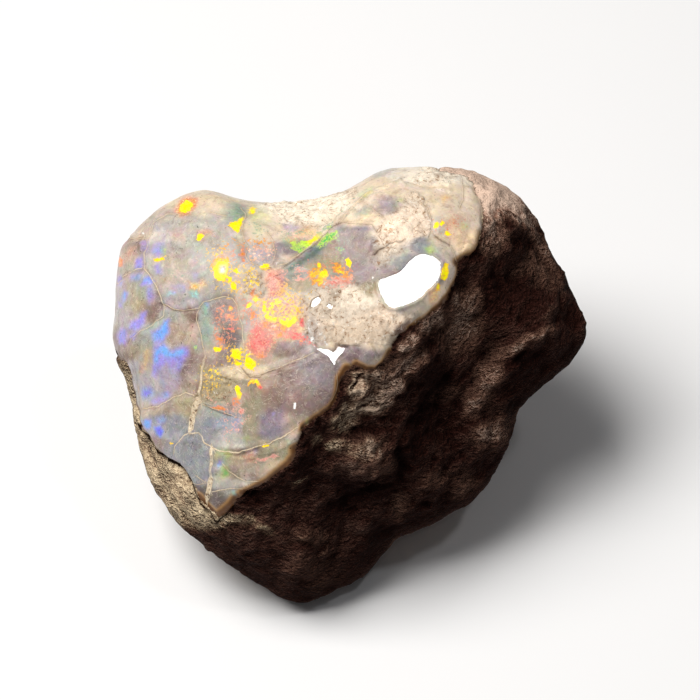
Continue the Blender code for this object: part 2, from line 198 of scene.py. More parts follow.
# Ledges in the stone: its drop and how far that takes to fade, the crisp drop that is cut in its
# place, and the edge, with the lower side on its right. The stone's own is LEDGE_WIDTH soft.
LEDGES = [
    (1.2, 4.5, 0.3, [(-7.5, 11.4), (-4.5, 13.0), (-1.5, 15.8), (1.7, 18.7), (5.0, 20.1)]),
    (0.8, 3.0, 0.07, [(-12.2, 1.8), (-9.5, 1.0), (-6.7, 1.8), (-3.4, 3.3)]),
    (1.0, 2.6, 0.1, [(-15.7, -4.7), (-13.6, -6.0), (-10.3, -6.4), (-6.7, -5.2), (-4.8, -4.2)]),
    (0.7, 2.4, 0.06, [(-12.3, -7.8), (-11.5, -8.8), (-10.2, -9.5), (-8.6, -9.7)]),
    (0.7, 2.6, 0.05, [(-20.4, -2.4), (-18.7, -1.9), (-16.6, -0.8), (-15.1, -1.0)]),
    (0.7, 3.0, 0.06, [(-21.8, 4.4), (-19.5, 6.0), (-18.4, 6.9), (-17.4, 7.6), (-15.3, 7.7)]),
    (0.6, 2.6, 0.05, [(-22.4, 10.7), (-21.0, 11.5), (-20.3, 11.5), (-19.3, 10.0), (-18.7, 8.2)]),
    (0.6, 2.5, 0.05, [(-21.8, 14.6), (-20.1, 14.5), (-19.4, 16.1), (-18.1, 17.0), (-16.1, 17.0)]),
    (0.6, 2.2, 0.06, [(-10.8, 13.9), (-10.4, 12.4), (-9.4, 11.8), (-8.0, 11.5)]),
    (0.8, 3.0, 0.12, [(13.3, 15.0), (12.2, 13.2), (10.7, 12.6), (9.9, 14.0), (8.4, 14.8)]),
]
LEDGE_WIDTH = 0.8

# Lumps (+) and hollows (-) of the rock side: place, half length, half width, turn in degrees,
# height, and how dusty with worn grains it is.
ROCK_FORMS = [
    (1.2, -7.1, 3.0, 2.5, 0, 1.50, 0.15),
    (1.4, -6.4, 3.4, 2.0, 0, 0.00, 0.60),
    (2.4, -6.6, 2.0, 1.1, -45, 0.20, 1.05),
    (-1.4, -6.0, 1.6, 0.9, 20, 0.35, 0.72),
    (5.2, -7.6, 0.9, 2.2, 5, -1.10, 0.00),
    (4.8, -12.0, 2.4, 1.4, 60, 0.30, 0.36),
    (1.6, -10.7, 3.0, 0.8, 5, -0.70, 0.00),
    (8.2, -9.5, 3.8, 1.8, 5, 0.40, 0.27),
    (3.4, 0.6, 5.6, 2.7, 38, 0.10, 0.48),
    (0.9, 0.1, 1.9, 1.2, 60, 0.60, 1.70),
    (2.8, 1.3, 1.0, 0.8, 20, 0.35, 1.00),
    (4.2, -0.4, 2.6, 1.1, 35, 0.45, 0.85),
    (2.0, -2.1, 3.0, 1.3, 8, 0.40, 1.20),
    (6.2, 2.2, 2.4, 1.1, 40, 0.35, 0.80),
    (6.0, 4.2, 1.6, 1.1, 50, 0.35, 0.90),
    (-0.6, -3.4, 2.4, 1.7, 50, 0.25, 0.78),
    (0.6, -4.5, 1.8, 0.6, 10, -0.45, 0.00),
    (-3.2, -5.3, 1.2, 0.9, 30, 0.25, 0.35),
    (8.6, -1.5, 3.4, 1.8, 58, -0.65, 0.00),
    (7.0, -5.5, 2.2, 1.2, 40, -0.50, 0.00),
    (18.6, 5.1, 2.8, 0.8, 22, 0.70, 0.62),
    (14.8, 1.9, 3.4, 1.2, 68, 0.70, 0.57),
    (12.4, -1.6, 2.8, 1.1, 60, 0.40, 0.54),
    (14.2, -4.9, 3.0, 2.0, 20, 0.50, 0.60),
    (17.8, 2.7, 2.0, 1.2, 35, -0.65, 0.00),
    (16.2, -1.7, 1.4, 0.8, 40, -0.55, 0.00),
    (16.6, 3.7, 1.8, 0.9, 35, 0.30, 0.72),
    (13.6, 0.4, 6.0, 2.0, 66, 0.00, 0.53),
    (11.2, 5.4, 4.2, 2.8, 60, 0.00, 0.50),
    (22.2, 6.7, 0.8, 2.6, 0, -0.30, 0.00),
    (19.9, 7.3, 1.4, 0.8, 40, 0.25, 0.30),
    (11.6, 7.6, 3.4, 2.0, 60, 0.25, 0.66),
    (8.2, 6.4, 2.4, 1.3, 45, 0.25, 0.80),
    (15.0, 9.5, 4.0, 1.8, 50, -0.50, 0.00),
    (17.2, 14.6, 2.4, 0.9, -20, -0.40, 0.00),
    (14.4, 18.9, 0.9, 1.2, -30, 0.40, 1.00),
    (16.2, 18.0, 2.0, 1.2, -30, 0.30, 0.62),
    (14.4, 14.6, 2.6, 2.0, 50, 0.25, 0.66),
    (19.7, 13.3, 4.4, 1.1, -65, 0.20, 0.60),
    (21.2, 10.0, 2.2, 0.7, -65, 0.12, 0.38),
    (-11.2, -13.5, 1.3, 0.6, 15, 0.40, 0.62),
    (-8.6, -14.4, 2.4, 0.9, -25, 0.30, 0.42),
    (-5.0, -9.7, 1.4, 0.6, 5, 0.30, 0.45),
    (-9.5, -11.0, 2.0, 0.8, -35, -0.30, 0.00),
    (-4.8, -17.8, 3.2, 1.6, 15, 0.40, 0.24),
    (-2.5, -16.7, 1.4, 0.6, 30, 0.30, 0.32),
    (-5.0, -16.0, 2.6, 0.7, 5, -0.35, 0.00),
    (-4.2, -15.2, 4.2, 1.8, 0, 0.20, 0.26),
    (-0.5, -12.0, 2.6, 1.0, 10, -0.45, 0.00),
    (5.0, -12.5, 3.0, 1.4, 20, 0.25, 0.16),
    (0.0, -20.5, 3.0, 0.6, 25, -0.25, 0.00),
]

# Colours, as linear red, green and blue.
YELLOW = (1.0, 0.90, 0.0)
GOLD = (0.88, 0.54, 0.04)
ORANGE = (0.66, 0.25, 0.05)
SALMON = (0.58, 0.235, 0.17)
CORAL = (0.58, 0.20, 0.17)
PINK = (0.66, 0.37, 0.30)
RED = (0.64, 0.096, 0.086)
LEAF = (0.48, 0.62, 0.12)
NEON = (0.42, 0.80, 0.006)
GREEN = (0.10, 0.42, 0.10)
TEAL = (0.25, 0.35, 0.28)
DEEP = (0.13, 0.17, 0.16)
CYAN = (0.26, 0.56, 0.50)
AZURE = (0.17, 0.36, 0.76)
BLUE = (0.14, 0.16, 0.72)
VIOLET = (0.27, 0.25, 0.68)
LILAC = (0.38, 0.31, 0.54)

CHALK = (0.95, 0.84, 0.69)
PEARL = (0.46, 0.425, 0.38)
MILK = (0.48, 0.465, 0.44)
CREAM = (0.78, 0.645, 0.50)
ASH = (0.70, 0.60, 0.49)
BISCUIT = (0.95, 0.78, 0.62)
BLUSH = (0.95, 0.71, 0.48)
TAN = (0.74, 0.60, 0.425)
CRUST = (0.64, 0.52, 0.40)
PEACH = (0.46, 0.36, 0.29)
LAVENDER = (0.42, 0.38, 0.39)
HAZE = (0.27, 0.22, 0.235)
PLUM = (0.33, 0.27, 0.265)
MAUVE = (0.28, 0.205, 0.19)
STEEL = (0.27, 0.275, 0.30)
SLATE = (0.32, 0.34, 0.31)
MOSS = (0.40, 0.36, 0.25)
FROST = (0.37, 0.40, 0.38)
SAGE = (0.33, 0.29, 0.20)
OLIVE = (0.40, 0.33, 0.21)
BRONZE = (0.24, 0.16, 0.13)
SMOKE = (0.14, 0.11, 0.105)
UMBER = (0.12, 0.06, 0.025)
# White for painted highlights, the glints of the light.
PAINTED_GLINT = (1.0, 1.0, 1.0)

# The colour of the rim and of the odd grain of each.
NEIGHBOUR = {
    YELLOW: GOLD, GOLD: ORANGE, ORANGE: SALMON, SALMON: GOLD, CORAL: PINK, PINK: SALMON,
    RED: CORAL,
    LEAF: TEAL, NEON: LEAF, GREEN: LEAF, TEAL: SLATE, DEEP: STEEL, CYAN: SLATE, AZURE: VIOLET,
    BLUE: AZURE, VIOLET: LILAC, LILAC: VIOLET, BLUSH: PINK, PAINTED_GLINT: PEARL,
}

# Soft washes of play of colour: colour, strength, softness of the edge, outline.
WASHES = [
    (PINK, 0.73, 0.69, [(-9.0, 8.6), (-6.6, 8.9), (-5.0, 8.7), (-4.6, 7.7), (-4.7, 6.7), (-6.6, 6.7),
        (-8.6, 7.2)]),
    (SALMON, 0.79, 0.57, [(-9.7, 6.3), (-8.8, 6.7), (-5.2, 6.7), (-4.7, 5.5), (-5.8, 4.7), (-7.2, 4.7),
        (-8.2, 3.3), (-9.2, 2.5), (-10.3, 3.1), (-10.6, 4.1), (-10.0, 5.1)]),
    (RED, 0.95, 0.57, [(-9.8, 5.1), (-9.5, 6.0), (-8.8, 6.1), (-8.4, 5.2), (-7.8, 4.5), (-8.2, 3.5),
        (-9.0, 2.7), (-9.9, 3.3), (-10.2, 4.2)]),
    (CORAL, 0.84, 0.4, [(-8.5, 11.4), (-6.6, 11.8), (-6.4, 10.1), (-6.6, 8.6), (-8.2, 8.7)]),
    (ORANGE, 1.0, 0.34, [(-17.5, 17.4), (-17.1, 18.4), (-16.3, 18.9), (-15.2, 18.7), (-15.4, 17.8),
        (-16.2, 17.0), (-17.0, 16.8)]),
    (ORANGE, 0.53, 0.4, [(-15.4, 14.4), (-15.2, 15.4), (-14.4, 15.7), (-13.7, 15.3), (-14.2, 14.5),
        (-14.9, 14.1)]),
    (ORANGE, 0.35, 0.5, [(-13.8, 12.3), (-13.7, 13.3), (-12.9, 13.7), (-12.0, 13.3), (-12.1, 12.3),
        (-13.0, 12.8)]),
    (LEAF, 0.63, 0.57, [(-6.8, 14.7), (-6.2, 15.1), (-5.2, 14.9), (-5.0, 14.3), (-5.8, 13.9),
        (-6.5, 14.2)]),
    (AZURE, 1.0, 0.32, [(-19.8, 5.4), (-19.0, 5.7), (-18.7, 6.4), (-18.1, 6.5), (-18.2, 5.2),
        (-18.6, 4.3), (-19.2, 4.0), (-19.7, 4.5)]),
    (VIOLET, 0.84, 0.4, [(-19.7, 3.9), (-19.2, 4.1), (-18.6, 3.9), (-17.8, 3.5), (-17.0, 3.9),
        (-16.2, 3.8), (-16.0, 3.2), (-16.6, 2.4), (-17.1, 1.3), (-17.9, 1.1), (-18.4, 2.1), (-19.0, 1.3),
        (-19.4, 0.7), (-19.9, 0.9), (-19.7, 2.3)]),
    (AZURE, 1.0, 0.29, [(-19.5, 3.5), (-19.2, 4.0), (-18.6, 4.1), (-18.2, 3.7), (-17.8, 3.3),
        (-17.2, 3.7), (-16.6, 3.7), (-16.4, 3.2), (-17.0, 2.7), (-17.8, 2.5), (-18.4, 2.8), (-19.0, 3.0),
        (-19.2, 2.3), (-19.7, 2.1)]),
    (VIOLET, 0.95, 0.29, [(-22.2, 5.6), (-21.9, 6.4), (-21.2, 6.7), (-20.9, 7.3), (-20.3, 7.4),
        (-20.6, 6.3), (-20.8, 5.6), (-21.7, 5.3)]),
    (VIOLET, 0.89, 0.34, [(-23.3, 4.9), (-22.9, 5.7), (-22.4, 5.7), (-22.2, 4.9), (-22.5, 4.0),
        (-23.2, 4.1)]),
    (VIOLET, 0.73, 0.23, [(-22.2, 4.8), (-21.6, 5.4), (-21.2, 5.3), (-21.7, 4.5)]),
    (AZURE, 1.0, 0.23, [(-21.0, 10.0), (-20.6, 10.7), (-20.1, 10.9), (-19.6, 10.4), (-20.2, 9.8)]),
    (VIOLET, 0.63, 0.34, [(-20.4, 9.9), (-19.7, 10.0), (-19.6, 8.9), (-20.1, 8.0), (-20.4, 8.5)]),
    (AZURE, 0.89, 0.23, [(-22.9, 8.7), (-22.5, 9.4), (-22.2, 9.2), (-22.4, 8.5), (-22.8, 8.0)]),
    (VIOLET, 0.73, 0.23, [(-23.2, 8.3), (-22.8, 8.5), (-22.8, 7.8), (-23.2, 7.7)]),
    (AZURE, 0.63, 0.34, [(-22.0, 10.8), (-21.3, 11.2), (-20.7, 11.2), (-21.0, 10.6), (-21.9, 10.4)]),
    (VIOLET, 0.89, 0.23, [(-21.5, 11.6), (-21.4, 12.6), (-20.9, 12.9), (-20.6, 11.9), (-21.0, 11.5)]),
    (LILAC, 0.73, 0.29, [(-21.0, 14.2), (-20.2, 14.4), (-20.3, 13.4), (-20.9, 13.5)]),
    (VIOLET, 0.58, 0.29, [(-19.7, 11.9), (-19.2, 12.1), (-18.7, 11.6), (-18.9, 11.1), (-19.4, 11.1)]),
    (VIOLET, 0.63, 0.29, [(-23.3, 10.8), (-22.9, 11.1), (-22.6, 10.3), (-22.9, 9.7), (-23.3, 10.0)]),
    (LILAC, 0.84, 0.46, [(-19.8, 13.4), (-19.3, 14.1), (-18.6, 14.1), (-18.4, 13.4), (-19.1, 12.9)]),
    (AZURE, 0.63, 0.17, [(-19.1, 13.5), (-18.6, 13.7), (-18.5, 13.2), (-18.9, 13.0)]),
    (LEAF, 0.63, 0.14, [(-18.6, 12.9), (-18.6, 13.6), (-18.4, 13.6), (-18.4, 12.9)]),
    (BLUE, 0.79, 0.4, [(-20.8, -0.4), (-20.0, -0.2), (-19.6, -0.6), (-19.8, -1.2), (-20.5, -1.3),
        (-20.9, -1.0)]),
    (AZURE, 0.73, 0.34, [(-18.8, -0.9), (-18.2, -0.6), (-17.9, -1.0), (-18.3, -1.4), (-18.8, -1.4)]),
    (VIOLET, 0.63, 0.4, [(-20.0, -1.3), (-18.8, -1.1), (-18.2, -1.5), (-19.0, -2.0), (-20.0, -1.9)]),
    (LILAC, 0.35, 0.5, [(-19.0, 1.5), (-17.2, 2.5), (-17.0, 0.7), (-17.8, -0.7), (-18.6, -0.3),
        (-19.0, 0.7)]),
    (TEAL, 0.58, 0.34, [(-21.4, 1.9), (-20.7, 2.1), (-20.6, 1.1), (-21.2, 0.9)]),
    (GOLD, 0.3, 0.25, [(-20.6, 3.5), (-20.1, 3.5), (-20.2, 1.5), (-20.7, 1.4)]),
    (AZURE, 1.0, 0.21, [(-20.8, -3.6), (-20.3, -3.4), (-19.9, -3.6), (-19.9, -4.2), (-20.4, -4.5),
        (-20.8, -4.1)]),
    (BLUE, 1.0, 0.23, [(-19.6, -4.2), (-19.0, -4.1), (-18.7, -4.6), (-18.9, -5.2), (-19.3, -5.0)]),
    (AZURE, 0.53, 0.29, [(-19.3, -3.3), (-18.6, -3.1), (-18.4, -3.5), (-19.0, -4.0), (-19.3, -3.9)]),
    (TEAL, 0.95, 0.4, [(-12.2, 17.1), (-11.4, 17.9), (-10.4, 17.8), (-10.7, 17.1), (-11.4, 16.3),
        (-12.0, 16.4)]),
    (DEEP, 1.0, 0.4, [(-6.5, 11.7), (-5.4, 12.7), (-3.8, 13.8), (-2.6, 14.5), (-2.0, 14.2), (-3.4, 12.9),
        (-5.0, 11.7), (-6.2, 11.0)]),
    (DEEP, 0.73, 0.4, [(-6.6, 11.1), (-5.2, 11.5), (-4.4, 11.3), (-5.0, 10.6), (-6.4, 10.4)]),
    (DEEP, 0.63, 0.29, [(-1.4, 15.7), (0.2, 15.9), (2.4, 15.7), (2.4, 15.4), (0.2, 15.5), (-1.2, 15.3)]),
    (GREEN, 0.53, 0.57, [(-13.3, -6.7), (-12.4, -6.5), (-12.0, -7.1), (-12.1, -9.1), (-13.0, -9.4),
        (-13.3, -8.3)]),
    (CYAN, 0.84, 0.29, [(-13.2, -7.6), (-12.5, -7.4), (-12.3, -8.3), (-12.9, -8.7)]),
    (AZURE, 0.89, 0.16, [(-13.3, -7.9), (-13.0, -7.8), (-12.9, -8.4), (-13.3, -8.4)]),
    (GREEN, 0.73, 0.29, [(-12.8, -8.5), (-12.3, -8.3), (-12.1, -9.0), (-12.7, -9.3)]),
    (LEAF, 0.4, 0.3, [(-12.9, -6.6), (-12.1, -6.6), (-11.7, -7.1), (-12.3, -7.5)]),
    (VIOLET, 0.45, 0.4, [(-10.4, -6.5), (-9.4, -6.3), (-9.3, -7.1), (-10.0, -7.7), (-10.4, -7.3)]),
    (CORAL, 0.45, 0.3, [(-10.7, -7.1), (-9.8, -6.7), (-9.3, -7.3), (-9.6, -7.9), (-10.4, -7.8)]),
    (CYAN, 0.58, 0.17, [(-12.0, -10.6), (-11.5, -10.5), (-11.4, -11.0), (-11.9, -11.1)]),
    (AZURE, 0.84, 0.17, [(-14.7, 8.0), (-14.5, 8.3), (-14.2, 8.1), (-14.0, 7.7), (-14.4, 7.5)]),
    (CYAN, 0.35, 0.4, [(-14.7, 7.9), (-14.0, 7.7), (-14.2, 6.7), (-14.7, 6.9)]),
    (TEAL, 0.53, 0.46, [(-14.9, 6.3), (-13.8, 6.7), (-13.6, 4.0), (-14.4, 3.3), (-14.8, 4.7)]),
    (TEAL, 0.45, 0.3, [(-15.3, 5.2), (-15.0, 4.5), (-14.9, 3.3), (-15.3, 3.3)]),
    (CYAN, 0.79, 0.23, [(-18.4, 8.9), (-18.0, 9.5), (-17.4, 9.4), (-17.5, 9.0), (-18.2, 8.7)]),
    (AZURE, 0.63, 0.29, [(-17.0, 9.8), (-16.7, 10.1), (-16.3, 9.6), (-16.6, 9.3)]),
    (LILAC, 0.53, 0.34, [(-17.8, 9.9), (-16.9, 10.2), (-16.8, 9.3), (-17.5, 9.4)]),
    (CYAN, 0.95, 0.23, [(-16.2, 9.6), (-15.5, 10.1), (-15.0, 9.5), (-15.1, 8.6), (-15.9, 8.7)]),
    (GOLD, 0.53, 0.34, [(-16.2, 10.3), (-14.6, 10.6), (-14.4, 9.9), (-15.0, 9.6), (-16.0, 9.7)]),
    (LILAC, 0.53, 0.23, [(-15.7, 11.2), (-15.2, 11.2), (-15.2, 10.5), (-15.6, 10.5)]),
    (CORAL, 0.35, 0.5, [(-18.0, 15.3), (-16.8, 15.5), (-16.6, 14.7), (-17.6, 14.5)]),
    (CORAL, 0.4, 0.35, [(-22.7, 13.0), (-22.0, 13.8), (-21.4, 13.7), (-22.0, 12.8), (-22.6, 12.3)]),
    (TEAL, 0.35, 0.6, [(-15.8, 14.2), (-14.4, 14.5), (-14.2, 13.1), (-15.4, 12.9)]),
    (VIOLET, 0.53, 0.14, [(-7.9, -2.8), (-7.5, -2.8), (-7.5, -3.1), (-7.8, -3.2)]),
    (LILAC, 0.18, 0.8, [(-8.8, -2.9), (-6.8, -2.5), (-6.4, -4.7), (-8.0, -5.3), (-8.8, -4.5)]),
    (AZURE, 0.28, 0.7, [(-14.4, -2.3), (-12.6, -2.7), (-11.0, -3.3), (-11.4, -4.3), (-13.6, -3.9)]),
    (TEAL, 0.4, 0.35, [(-14.4, -2.2), (-12.8, -2.9), (-12.2, -3.5), (-13.6, -3.3)]),
    (LEAF, 0.25, 0.25, [(-4.5, -3.2), (-4.1, -3.2), (-4.2, -3.9), (-4.5, -3.9)]),
    (LEAF, 0.22, 0.4, [(-10.7, -5.1), (-9.8, -4.9), (-9.8, -5.8), (-10.6, -5.9)]),
    (CORAL, 0.25, 0.6, [(-9.2, 0.5), (-8.4, 0.5), (-8.4, -0.7), (-9.1, -0.5)]),
    (LEAF, 0.63, 0.34, [(7.4, 13.7), (8.2, 14.1), (8.6, 13.3), (7.8, 12.9)]),
    (LEAF, 0.4, 0.3, [(0.7, 18.9), (1.4, 19.5), (2.2, 19.9), (2.4, 19.3), (1.6, 18.6)]),
    (LEAF, 0.35, 0.3, [(4.5, 18.7), (5.4, 18.6), (5.4, 18.1), (4.6, 18.1)]),
    (LILAC, 0.18, 0.6, [(3.0, 18.5), (4.0, 18.6), (4.4, 17.7), (3.4, 17.5)]),
    (TEAL, 0.45, 0.4, [(0.2, 17.3), (1.4, 17.8), (2.2, 17.6), (1.4, 17.0), (0.3, 16.8)]),
    (ORANGE, 0.38, 0.5, [(9.2, 16.3), (10.0, 16.8), (11.2, 17.0), (11.4, 16.4), (10.2, 15.6),
        (9.4, 15.3)]),
    (GOLD, 0.45, 0.3, [(8.9, 18.8), (9.6, 19.1), (10.0, 18.8), (9.4, 18.2)]),
    (GOLD, 0.53, 0.34, [(8.0, 9.3), (8.7, 9.7), (8.8, 8.7), (8.4, 8.1), (8.0, 8.2)]),
    (LEAF, 0.25, 0.6, [(-10.0, 16.9), (-8.8, 17.3), (-8.4, 15.7), (-9.2, 14.5), (-10.0, 15.3)]),
    (GOLD, 0.35, 0.5, [(-6.6, 15.5), (-5.0, 15.9), (-3.2, 15.6), (-3.4, 14.7), (-5.4, 14.7)]),
    (LEAF, 0.45, 0.3, [(10.8, 15.6), (11.1, 16.3), (11.7, 16.3), (12.0, 15.7), (11.3, 15.4)]),
    (LEAF, 0.3, 0.6, [(-10.3, 17.3), (-9.0, 17.9), (-7.8, 17.1), (-7.8, 15.9), (-9.2, 16.3),
        (-10.0, 15.9)]),
    (LILAC, 0.53, 0.34, [(-6.7, 16.0), (-5.8, 16.2), (-5.2, 15.7), (-5.8, 15.3), (-6.5, 15.5)]),
]
